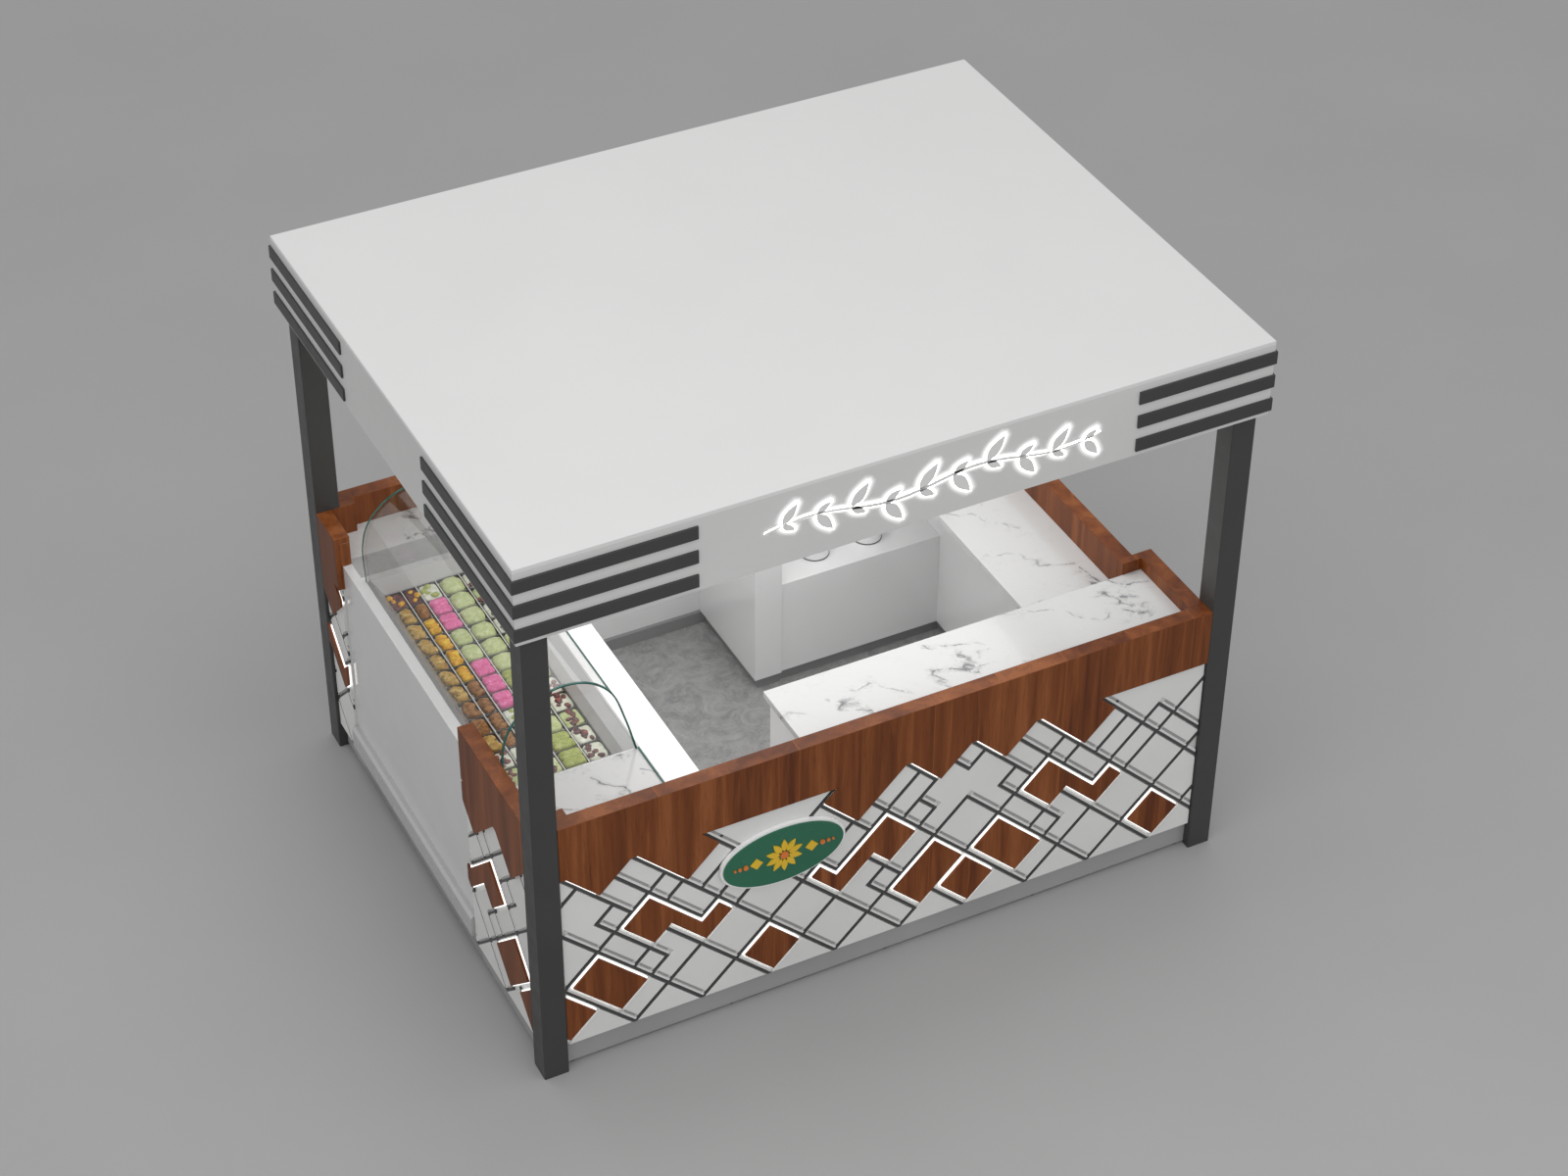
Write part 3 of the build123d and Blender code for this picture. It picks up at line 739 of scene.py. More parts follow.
    def relief(self, centre: Vector, outlines: Iterable[Outline], near: float, far: float, edge: float = 0.0) -> None:
        """Add upright outlines in front of a wall that faces the customer.

        Args:
            centre: the point of the wall that the outlines are measured from.
            outlines: the outlines.
            near: where they start in front of the wall.
            far: where they end.
            edge: width of the rounded rim.
        """
        for outline in outlines:
            points = [centre + Vector((x, -near, z)) for x, z in outline]
            self.prism(points, (0, near - far, 0), edge)

    def lathe(self, centre: Vector, profile: Outline, sides: int = 48) -> None:
        """Add a turned form.

        Args:
            centre: foot of its upright axis.
            profile: radius and height, from the foot up, with the ends on the axis.
            sides: number of sides.
        """
        rings = [[self.mesh.verts.new(centre + Vector((x, y, height)))
                  for x, y in (oval((0, 0), 2 * radius, 2 * radius, sides) if radius else [(0, 0)])]
                 for radius, height in profile]
        for low, high in zip(rings, rings[1:]):
            self.join(low, high)


def link(name: str, data: bpy.types.ID) -> bpy.types.Object:
    """Put an object into the scene.

    Args:
        name: its name.
        data: the mesh, lamp or camera that it holds.

    Returns:
        The new object.
    """
    made = bpy.data.objects.new(name, data)
    bpy.context.scene.collection.objects.link(made)
    return made


def swell(least: float, share: float) -> float:
    """A factor that grows from a least value at both ends of a line to 1 in its middle."""
    return least + (1 - least) * math.sin(math.pi * share)


def oval(centre: Point, width: float, height: float, sides: int) -> list[Point]:
    """The outline of an oval with a number of sides."""
    turns = [math.tau * index / sides for index in range(sides)]
    return [(centre[0] + width / 2 * math.cos(turn), centre[1] + height / 2 * math.sin(turn)) for turn in turns]


class Assembly:
    """A group of the kiosk's parts: finishes for CAD nodes, and finer pieces."""

    DRESSED: ClassVar[dict[str, Finish]] = {}
    SOFTENED: ClassVar[dict[str, tuple[Finish, float]]] = {}

    def build(self, nodes: Nodes) -> None:
        """Finish the CAD nodes and add the finer pieces.

        Args:
            nodes: the CAD nodes by name.
        """
        for name, finish in self.DRESSED.items():
            materials = nodes[name].data.materials
            materials.clear()
            materials.append(finish.material)
            LOG.info("%s: %s", name, finish.name)
        for name, (finish, width) in self.SOFTENED.items():
            Piece.soften(nodes[name], finish, width)
        self.add()

    def add(self) -> None:
        """Add the finer pieces."""


# ---- patterned walls ----------------------------------------------------------------------


@dataclass(frozen=True)
class Pattern:
    """The diagonal lattice, in half cells: a grows along rising diagonals and b along falling ones."""

    period: int = 12
    cell: float = 0.200
    rows: int = 6
    plates: int = 6
    repeats: int = 4
    falling: dict[int, list[Cell]] = field(default_factory=lambda: {
        2: [(-8, 2)], 3: [(-6, -5)], 4: [(-8, -6), (-4, 4)], 5: [(-6, -5), (-3, 1)], 6: [(-6, -2), (0, 6)],
        7: [(-4, 1)], 8: [(-4, 8)], 10: [(-2, 10)], 11: [(1, 5), (7, 10)], 12: [(6, 8), (10, 12)], 13: [(1, 5)]})
    rising: dict[int, list[Cell]] = field(default_factory=lambda: {
        0: [(4, 5), (8, 10)], 1: [(4, 5), (7, 11)], 2: [(2, 6), (8, 14)], 4: [(4, 13)], 5: [(11, 16)],
        6: [(8, 10), (14, 16)], 7: [(11, 12), (14, 15), (17, 18)], 8: [(8, 16)], 9: [(17, 18)],
        10: [(10, 11), (14, 20)], 11: [(19, 20), (22, 23)]})
    filled: list[list[Cell]] = field(default_factory=lambda: [
        [(2, -2), (4, -2), (4, 1), (2, 1)],
        [(5, -2), (7, -2), (7, 1), (8, 1), (8, 2), (6, 2), (6, 0), (5, 0)],
        [(6, 4), (8, 4), (8, 6), (6, 6)],
        [(10, 4), (11, 4), (11, 5), (14, 5), (14, 7), (12, 7), (12, 6), (10, 6)],
        [(11, 8), (14, 8), (14, 10), (11, 10)],
        [(12, 10), (14, 10), (14, 12), (12, 12)],
        [(6, -7), (9, -7), (9, -4), (6, -4)],
        [(8, -4), (10, -4), (10, -1), (8, -1)],
        [(13, 2), (16, 2), (16, 4), (13, 4)],
        [(16, 3), (19, 3), (19, 6), (16, 6)]])

    @property
    def step(self) -> float:
        """Half the diagonal of a cell."""
        return self.cell / math.sqrt(2)

    @property
    def height(self) -> float:
        """Height of the lattice."""
        return self.rows * self.step

    def place(self, a: float, b: float) -> Point:
        """Distance along the wall and height of a point of the grid."""
        return self.step * (a + b) / 2, self.step * (a - b) / 2

    def crossed(self, table: dict[int, list[Cell]], line: int, place: int) -> bool:
        """Whether a strip of a table lies on a grid line beside one half cell of it."""
        return any(start <= place - line + key < end for key, spans in table.items()
                   if (line - key) % self.period == 0 for start, end in spans)

    def turns(self, start: float, length: float) -> range:
        """How far the pattern moves on for each repeat that may reach a stretch of wall.

        Args:
            start: where the stretch starts along the pattern.
            length: its length.

        Returns:
            The shifts in half cells.
        """
        repeat = self.period * self.step
        first, last = math.floor(start / repeat) - 1, math.ceil((start + length) / repeat) + 1
        return range(self.period * first, self.period * last, self.period)

    def is_filled(self, a: int, b: int) -> bool:
        """Whether a half cell lies under a wood plate or a step of the wood band.

        Args:
            a: the cell's place along rising diagonals.
            b: its place along falling ones.

        Returns:
            True if it does.
        """
        centres = [(a + 0.5 - turn * self.period, b + 0.5 - turn * self.period)
                   for turn in range(-self.repeats, self.repeats + 1)]
        return any(self.inside(outline, *centre) for outline in self.filled for centre in centres)

    @staticmethod
    def sides(outline: Sequence[Cell]) -> list[tuple[Cell, Cell]]:
        """The sides of an outline, each as its two ends."""
        return list(zip(outline[-1:] + outline[:-1], outline))

    def inside(self, outline: Sequence[Cell], a: float, b: float) -> bool:
        """Whether a point is inside a right-angled outline.

        Args:
            outline: the outline.
            a: the point's place along rising diagonals.
            b: its place along falling ones.

        Returns:
            True if it is.
        """
        crossings = [(b0 > b) != (b1 > b) and a < a0 + (b - b0) * (a1 - a0) / (b1 - b0)
                     for (a0, b0), (a1, b1) in self.sides(outline)]
        return sum(crossings) % 2 == 1

    def low_sides(self, outline: Sequence[Cell]) -> list[tuple[int, int, int]]:
        """The sides of an outline that face low a, each as its a and its span of b."""
        return [(a0, min(b0, b1), max(b0, b1)) for (a0, b0), (a1, b1) in self.sides(outline)
                if a0 == a1 and self.inside(outline, a0 + 0.25, (b0 + b1) / 2)]

    def drawn_in(self, outline: Sequence[Cell], inset: float, inset_low: float) -> list[Point]:
        """An outline drawn in, further on the sides that face low a.

        Args:
            outline: the outline.
            inset: how far it is drawn in, in metres.
            inset_low: how far on the sides that face low a.

        Returns:
            Its corners on the grid.
        """
        moved = []
        sides = self.sides(outline)
        for side, ahead in zip(sides, sides[1:] + sides[:1]):
            shift = Vector((0.0, 0.0))
            for (a0, b0), (a1, b1) in (side, ahead):
                out = Vector((b1 - b0, a0 - a1)).normalized()
                shift -= out * (inset_low if out.x < -0.5 else inset)
            a, b = Vector(side[1]) + shift / (self.cell / 2)
            moved.append((a, b))
        return moved

    def bar(self, a: int, low_b: float, high_b: float, near: float, far: float, end: float) -> list[Point]:
        """The outline of a bar along a side that faces low a.

        Args:
            a: the side's grid line.
            low_b: where the side starts.
            high_b: where it ends.
            near: metres from the grid line to the bar's near edge.
            far: metres to its far edge.
            end: metres kept free at both ends.

        Returns:
            Its corners on the grid.
        """
        near, far, end = (size / (self.cell / 2) for size in (near, far, end))
        low, high = low_b + end, high_b - end
        return [(a + near, low), (a + far, low), (a + far, high), (a + near, high)]

    def beside(self, a: int, b: int) -> Iterable[Cell]:
        """The half cells beside one that no strip parts from it.

        Args:
            a: the cell's place along rising diagonals.
            b: its place along falling ones.

        Returns:
            The half cells.
        """
        for end, way in ((1, 1), (0, -1)):
            if not self.crossed(self.falling, a + end, b):
                yield a + way, b
            if not self.crossed(self.rising, b + end, a):
                yield a, b + way

    def fields(self, start: float, length: float, spare: int = 4) -> list[set[Cell]]:
        """The fields between the strips of a stretch of wall.

        Args:
            start: where the stretch starts along the pattern.
            length: its length.
            spare: half cells looked at beyond both ends.

        Returns:
            Sets of half cells, one for each field.
        """
        totals = range(int(2 * start / self.step) - spare, int(2 * (start + length) / self.step) + spare + 1)
        cells = [((total + rise) // 2, (total - rise) // 2) for total in totals
                 for rise in range(-2, self.rows * 2 + 3) if (total + rise) % 2 == 0]
        waiting = {cell for cell in cells if not self.is_filled(*cell)}
        found = []
        for seed in sorted(waiting):
            if seed not in waiting:
                continue
            waiting.discard(seed)
            group, edge = {seed}, [seed]
            while edge:
                new = waiting.intersection(self.beside(*edge.pop()))
                waiting -= new
                group |= new
                edge.extend(new)
            found.append(group)
        return found


@dataclass(frozen=True)
class Wall:
    """One stretch of patterned wall: where it stands and which part of the pattern it shows."""

    name: str
    origin: Vector
    along: Vector
    outward: Vector
    start: float
    length: float
    pattern: Pattern

    def lay(self, outline: Outline, depth: float, turn: int = 0) -> list[Vector]:
        """Corners on the grid in the wall's own coordinates, with depth as z, some half cells further on."""
        points = [self.pattern.place(a + turn, b + turn) for a, b in outline]
        return [Vector((u - self.start, v, depth)) for u, v in points]

    def fit(self, piece: Piece, border: float) -> None:
        """Cut a piece in wall coordinates off at the wall's ends and carry it to its place.

        Args:
            piece: the piece, with depth as z.
            border: how far inside the ends it is cut.
        """
        mesh = piece.mesh
        lines = ((border, 0, -1, 0), (self.length - border, 0, 1, 0), (0, border, 0, -1),
                 (0, self.pattern.height - border, 0, 1))
        for x, y, nx, ny in lines:
            geometry = [*mesh.verts, *mesh.edges, *mesh.faces]
            made = bmesh.ops.bisect_plane(mesh, geom=geometry, plane_co=(x, y, 0), plane_no=(nx, ny, 0),
                                          clear_outer=True, dist=CUT)
            rim = [item for item in made["geom_cut"] if isinstance(item, bmesh.types.BMEdge)]
            bmesh.ops.holes_fill(mesh, edges=rim, sides=0)
        bmesh.ops.dissolve_limit(mesh, angle_limit=FLAT_ANGLE, verts=mesh.verts, edges=mesh.edges)
        for vert in mesh.verts:
            u, v, depth = vert.co
            vert.co = self.origin + self.along * u + UP * v - self.outward * depth
        if self.along.cross(UP).dot(self.outward) < 0:
            bmesh.ops.reverse_faces(mesh, faces=mesh.faces)


@dataclass(frozen=True)
class LightTiles:
    """Raised light tiles between the strips, each with a lip and a slot along its low sides, the slot lined with a
    strip of painted shade.
    """

    panel_depth: float = 0.021
    face_depth: float = 0.0125
    margin: float = 0.0085
    upper_margin: float = 0.0125
    lower_margin: float = 0.0055
    lip: float = 0.0175
    slot: float = 0.0115
    slot_end: float = 0.022
    slot_rise: float = 0.0035
    slot_play: float = 0.0004
    plate_lip: float = 0.019
    edge: float = 0.0016
    border: float = 0.004
    corners: tuple[Cell, ...] = ((0, 0), (1, 0), (1, 1), (0, 1))

    @property
    def rise(self) -> float:
        """How far the tiles stand out from the panel, as a change of depth."""
        return self.face_depth - self.panel_depth

    def build(self, wall: Wall) -> None:
        """Make the tiles of one wall.

        Args:
            wall: the wall.
        """
        tiles, slots = Piece(), Piece()
        pattern = wall.pattern
        for group in pattern.fields(wall.start, wall.length):
            self.add_lips(tiles, slots, group, wall)
            self.add_tile(tiles.mesh, group, wall)
        for outline in pattern.filled[:pattern.plates]:
            for side in pattern.low_sides(outline):
                bar = pattern.bar(*side, self.margin, self.plate_lip, self.margin)
                for turn in pattern.turns(wall.start, wall.length):
                    tiles.prism(wall.lay(bar, self.panel_depth, turn), (0, 0, self.rise), self.edge / 2)
        for piece, name, finish in ((tiles, "_light_tiles", Finishes.TILE), (slots, "_tile_slot_shade", Finishes.SHADOW)):
            wall.fit(piece, self.border)
            piece.store(wall.name + name, finish)

    def add_lips(self, tiles: Piece, slots: Piece, group: set[Cell], wall: Wall) -> None:
        """Add the lips of one field and the strips of painted shade in the slots behind them.

        Args:
            tiles: the piece of the tiles.
            slots: the piece of the painted shade strips in the slots.
            group: half cells of the field.
            wall: the wall.
        """
        free = sorted((a, b) for a, b in group if (a - 1, b) not in group)
        while free:
            a, low = free.pop(0)
            high = low + 1
            while free and free[0] == (a, high):
                free.pop(0)
                high += 1
            lip = wall.pattern.bar(a, low, high, self.margin, self.lip, self.margin)
            tiles.prism(wall.lay(lip, self.panel_depth), (0, 0, self.rise), self.edge / 2)
            near, far = self.lip + self.slot_play, self.lip + self.slot - self.slot_play
            # Each slot gets a grey strip, raised a little off the panel, as painted shade.
            slot = wall.pattern.bar(a, low, high, near, far, self.slot_end)
            slots.prism(wall.lay(slot, self.panel_depth), (0, 0, -self.slot_rise))

    def add_tile(self, mesh: bmesh.types.BMesh, group: set[Cell], wall: Wall) -> None:
        """Add one field's tile.

        Args:
            mesh: the mesh to add to.
            group: half cells of the field.
            wall: the wall.
        """
        margins = {(0, -1): self.lower_margin, (1, 0): self.margin, (0, 1): self.upper_margin,
                   (-1, 0): self.lip + self.slot}
        moves: dict[Cell, list[Vector]] = {(a + x, b + y): [] for a, b in group for x, y in self.corners}
        for a, b in group:
            for (da, db), margin in margins.items():
                if (a + da, b + db) in group:
                    continue
                shift = Vector((-da * margin, -db * margin))
                for x, y in self.corners:
                    held = moves[(a + x, b + y)]
                    if (x if da else y) == max(da + db, 0) and shift not in held:
                        held.append(shift)
        low, high, rim = {}, {}, []
        for (a, b), shifts in moves.items():
            shift = sum(shifts, Vector((0, 0))) / (wall.pattern.cell / 2)
            for verts, depth in ((low, self.panel_depth), (high, self.face_depth)):
                verts[(a, b)] = mesh.verts.new(wall.lay([(a + shift.x, b + shift.y)], depth)[0])
        for a, b in sorted(group):
            around = [(a + x, b + y) for x, y in self.corners]
            mesh.faces.new([low[at] for at in reversed(around)])
            mesh.faces.new([high[at] for at in around])
            for (da, db), start, end in zip(margins, around, around[1:] + around[:1]):
                if (a + da, b + db) not in group:
                    mesh.faces.new([low[start], low[end], high[end], high[start]])
                    rim.append(mesh.edges.get((high[start], high[end])))
        mesh.normal_update()
        bmesh.ops.bevel(mesh, geom=rim, offset=self.edge, segments=1, affect="EDGES", clamp_overlap=True)


@dataclass(frozen=True)
class LitRims:
    """The lit rims that show around the wood plates and under the steps of the band."""

    inset: float = 0.0112
    inset_low: float = 0.0268
    step_low: float = 0.0105
    near: float = 0.0103
    far: float = 0.0160
    border: float = 0.0105
    least: float = 0.06

    def build(self, wall: Wall) -> None:
        """Make the rims of one wall, without those that its ends would cut down to a sliver.

        Args:
            wall: the wall.
        """
        rims = Piece()
        pattern = wall.pattern
        for number, outline in enumerate(pattern.filled):
            low = self.inset_low if number < pattern.plates else self.step_low
            drawn = pattern.drawn_in(outline, self.inset, low)
            for turn in pattern.turns(wall.start, wall.length):
                flat = wall.lay(drawn, self.far, turn)
                places = [point.x for point in flat]
                if min(places) <= wall.length - self.least and max(places) >= self.least:
                    rims.prism(flat, (0, 0, self.near - self.far))
        wall.fit(rims, self.border)
        if rims.mesh.faces:
            rims.store(wall.name + "_lit_rims", Finishes.GLOW, "glow_bodies")
        else:
            rims.mesh.free()


@dataclass
class PatternedWalls(Assembly):
    """The wood-banded lattice walls on all sides."""

    left_near: float = 0.580
    left_far: float = 0.195
    right_near: float = 0.386
    right_step: float = 0.087
    side_shift: float = 3.0
    plate_depth: float = 0.0205
    plate_gap: float = 0.0005
    plate_thickness: float = 0.002
    DRESSED = {side + part: finish for side in SIDES for part, finish in (
        ("_panel", Finishes.PANEL), ("_kick_boards", Finishes.KICK), ("_lattice", Finishes.STRIP))}
    DRESSED["levelling_feet"] = Finishes.RUBBER
    SOFTENED = {name: (Finishes.WOOD, 0.0015) for name in (
        "front_wood_band", "back_wood_band", "left_wood_band", "right_wood_band", "wood_tiles", "right_return")}

    def walls(self, pattern: Pattern) -> Iterable[Wall]:
        """The stretches of wall, from the places of their CAD nodes.

        Args:
            pattern: the pattern that they show.

        Returns:
            The stretches.
        """
        low_f, high_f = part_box("front_wood_band")
        low_b, high_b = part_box("back_wood_band")
        low_l, high_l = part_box("left_panel")
        low_r, high_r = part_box("right_panel")
        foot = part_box("front_panel")[0].z
        left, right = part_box("left_wood_band")[0].x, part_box("right_wood_band")[1].x
        turn = low_r.y + self.right_near
        left_start = pattern.period * pattern.step - self.left_near
        for name, x, y, along, outward, start, length in (
                ("front", low_f.x, low_f.y, EAST, -NORTH, 0.0, high_f.x - low_f.x),
                ("back", high_b.x, high_b.y, -EAST, NORTH, 0.0, high_b.x - low_b.x),
                ("left_near", left, low_l.y + self.left_near, -NORTH, -EAST, left_start, self.left_near),
                ("left_far", left, high_l.y, -NORTH, -EAST, self.side_shift * pattern.step, self.left_far),
                ("right_near", right, low_r.y, NORTH, EAST, 0.0, self.right_near),
                ("right_long", right - self.right_step, turn, NORTH, EAST, self.right_near, high_r.y - turn)):
            yield Wall(name, Vector((x, y, foot)), along, outward, start, length, pattern)

    def add(self) -> None:
        """Add the light tiles, the lit rims and the ends of the wood band."""
        pattern = Pattern()
        for wall in self.walls(pattern):
            LightTiles().build(wall)
            LitRims().build(wall)
        low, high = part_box("left_panel")
        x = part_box("left_wood_band")[0].x + self.plate_depth
        display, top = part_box("display_lip")[0].x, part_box("display_lip")[1].z
        ends = Piece()
        for y in (low.y + self.left_near, high.y - self.left_far - self.plate_thickness):
            far = y + self.plate_thickness
            ends.block((x, y, low.z + pattern.height), (display - self.plate_gap, far, top))
            ends.block((x, y, top), (high.x, far, high.z))
        ends.store("band_ends", Finishes.WOOD)


# ---- roof ---------------------------------------------------------------------------------


class Roof(Assembly):
    """Roof deck, fascias, corner bars and posts."""

    DRESSED = {"roof_deck": Finishes.ROOF, **{"fascia_" + side: Finishes.FASCIA for side in SIDES},
               "ceiling_panel": Finishes.CEILING, "roof_joists": Finishes.TIMBER,
               **{f"post_{end}_{side}": Finishes.ANTHRACITE for end in SIDES[:2] for side in SIDES[2:]}}
    SOFTENED = {"corner_bars": (Finishes.ANTHRACITE, 0.0012)}


@dataclass
class Ornament(Assembly):
    """A lit leaf garland on the front fascia.

    Its leaves grow in pairs, each with its shift from the stem, its heading, and its length and width as
    shares of the leaf size.
    """

    centre_x: float = 0.10
    rise: float = 0.005
    length: float = 1.34
    stem: float = 0.014
    stem_steps: int = 72
    leaf_count: int = 10
    leaf_size: float = 0.118
    least_stem: float = 0.25
    least_leaf: float = 0.78
    pair: tuple[tuple[float, ...], ...] = ((0.004, 0.9076, 1.0, 0.40), (-0.002, -0.5306, 0.62, 0.27))
    wave: float = 0.022
    halo: float = 0.006
    painted_glow: tuple[float, ...] = (0.024, 0.018, 0.012)
    haze_thickness: float = 0.0004
    halo_thickness: float = 0.003
    thickness: float = 0.0075

    @staticmethod
    def leaf(base: Point, heading: float, length: float, width: float, grow: float = 0.0, count: int = 14) -> Outline:
        """The outline of one leaf.

        Args:
            base: where the leaf starts.
            heading: direction of its middle line.
            length: its length.
            width: its widest part.
            grow: how far the outline is moved outwards.
            count: steps along each side.

        Returns:
            Corners in turn.
        """
        along = Vector((math.cos(heading), math.sin(heading)))
        across = Vector((-along.y, along.x))
        outline = []
        for index in range(2 * count):
            share = min(index, 2 * count - index) / count
            wide = math.sin(math.pi * share ** 0.8) * width / 2 + grow if 0 < share < 1 else 0.0
            place = Vector(base) + along * (share * length + grow * (2 * share - 1))
            outline.append((place + across * (wide if index < count else -wide)).to_tuple())
        return outline

    def stem_at(self, share: float) -> Point:
        """A point of the waving stem, by its share of the length."""
        return (share - 0.5) * self.length, self.wave * math.sin(math.tau * 2 * share)

    def ribbon(self, width: float) -> Outline:
        """The outline of the waving stem.

        Args:
            width: its width in the middle.

        Returns:
            Corners in turn.
        """
        upper, lower = [], []
        for index in range(self.stem_steps + 1):
            share = index / self.stem_steps
            x, y = self.stem_at(share)
            half = width * swell(self.least_stem, share) / 2
            upper.append((x, y + half))
            lower.append((x, y - half))
        return upper + lower[::-1]

    def outlines(self, grow: float) -> list[Outline]:
        """All outlines of the garland.

        Args:
            grow: how far they are moved outwards.

        Returns:
            The stem and the leaves.
        """
        shapes = [self.ribbon(self.stem + 2 * grow)]
        for index in range(self.leaf_count):
            share = (index + 0.5) / self.leaf_count
            x, y = self.stem_at(share)
            side = 1 if index % 2 == 0 else -1
            size = self.leaf_size * swell(self.least_leaf, share)
            for shift, turn, long, wide in self.pair:
                shapes.append(self.leaf((x, y + side * shift), side * turn, size * long, size * wide, grow))
        return shapes

    def add(self) -> None:
        """Make the halo, the front and the rings of painted glow around the garland."""
        low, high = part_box("fascia_front")
        centre = Vector((self.centre_x, low.y, (low.z + high.z) / 2 + self.rise))
        layers = [("halo", self.halo, 0.0, self.halo_thickness, Finishes.SIGN_GLOW),
                  ("face", 0.0, self.halo_thickness, self.thickness, Finishes.TILE)]
        # The painted glow rings grow wider and fainter outwards, standing for the sign's light on the fascia.
        layers += [(f"haze_{number}", grow, 0.0, self.haze_thickness * number, finish)
                   for number, (grow, finish) in enumerate(zip(self.painted_glow, Finishes.PAINTED_GLOW), 1)]
        for name, grow, near, far, finish in layers:
            piece = Piece()
            piece.relief(centre, self.outlines(grow), near, far)
            piece.store("ornament_" + name, finish)


@dataclass
class Plaque(Assembly):
    """A green oval on the front lattice, with a flower, and diamonds and beads on both sides of it.

    Each diamond or bead is given by its distance from the middle and its radius.
    """

    centre_x: float = -0.475
    centre_z: float = 0.745
    width: float = 0.50
    height: float = 0.26
    rim: float = 0.010
    sides: int = 72
    petals: int = 10
    petal_start: float = 0.020
    petal_size: Point = (0.058, 0.026)
    core: float = 0.017
    diamonds: tuple[Point, ...] = ((0.115, 0.026),)
    bead_sides: int = 40
    beads: tuple[Point, ...] = ((0.160, 0.010), (0.185, 0.007), (0.205, 0.005))
    edge: float = 0.0012

    def add(self) -> None:
        """Make the plaque's layers."""
        back = oval((0, 0), self.width + 2 * self.rim, self.height + 2 * self.rim, self.sides)
        front = oval((0, 0), self.width, self.height, self.sides)
        headings = [math.tau * (index + 0.5) / self.petals for index in range(self.petals)]
        starts = [(self.petal_start * math.cos(turn), self.petal_start * math.sin(turn)) for turn in headings]
        petals = [Ornament.leaf(start, turn, *self.petal_size) for start, turn in zip(starts, headings)]
        diamonds, beads = ([oval((way * place, 0), 2 * size, 2 * size, sides)
                            for way in (-1, 1) for place, size in marks]
                           for marks, sides in ((self.diamonds, 4), (self.beads, self.bead_sides)))
        core = oval((0, 0), 2 * self.core, 2 * self.core, self.bead_sides)
        centre = Vector((self.centre_x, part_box("front_wood_band")[0].y, self.centre_z))
        for name, outlines, near, far, finish in (
                ("back", [back], -0.012, 0.004, Finishes.WHITE),
                ("oval", [front], 0.004, 0.010, Finishes.GREEN),
                ("petals", petals + diamonds, 0.010, 0.0145, Finishes.YELLOW),
                ("core", [core] + beads, 0.010, 0.0160, Finishes.ORANGE)):
            piece = Piece()
            piece.relief(centre, outlines, near, far, self.edge)
            piece.store("plaque_" + name, finish)


# ---- counters -----------------------------------------------------------------------------


@dataclass
class Counters(Assembly):
    """Stone tops, glossy cabinets, the room's linings and the drums on the tall unit."""

    body_height: float = 0.070
    foot: float = 0.003
    DRESSED = {"unit_skirting": Finishes.SKIRTING, "room_lining": Finishes.LINING, "left_linings": Finishes.LINING,
               "floor_deck": Finishes.FLOOR}
    SOFTENED = {**{name: (Finishes.MARBLE, 0.002) for name in ("front_bar_top", "right_worktop")},
                **{name: (Finishes.WHITE, 0.001) for name in (
                    "front_bar_carcass", "right_cabinet", "tall_unit", "low_unit")}}

    def add(self) -> None:
        """Add round lidded drums in place of the plain ones."""
        low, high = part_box("lidded_drums")
        r, top, foot = (high.y - low.y) / 2, self.body_height, self.foot
        profile = [(0, foot), (r - 0.006, foot), (r - 0.003, foot + 0.001), (r - 0.003, top - 0.020),
                   (r - 0.010, top - 0.018), (r - 0.010, top - 0.014), (r, top - 0.013), (r, top - 0.003),
                   (r - 0.003, top), (0.016, top), (0.010, top + 0.003), (0.009, top + 0.010), (0.012, top + 0.013),
                   (0.011, top + 0.017), (0, top + 0.018)]
        feet, drums = Piece(), Piece()
        for x in (low.x + r, high.x - r):
            centre = Vector((x, low.y + r, low.z))
            feet.lathe(centre, [(0, 0), (r - 0.001, 0), (r - 0.001, foot), (0, foot)])
            drums.lathe(centre, profile)
        feet.store("drum_feet", Finishes.ANTHRACITE)
        drums.store("drums_turned", Finishes.WHITE, "lidded_drums", CREASE_ANGLE)


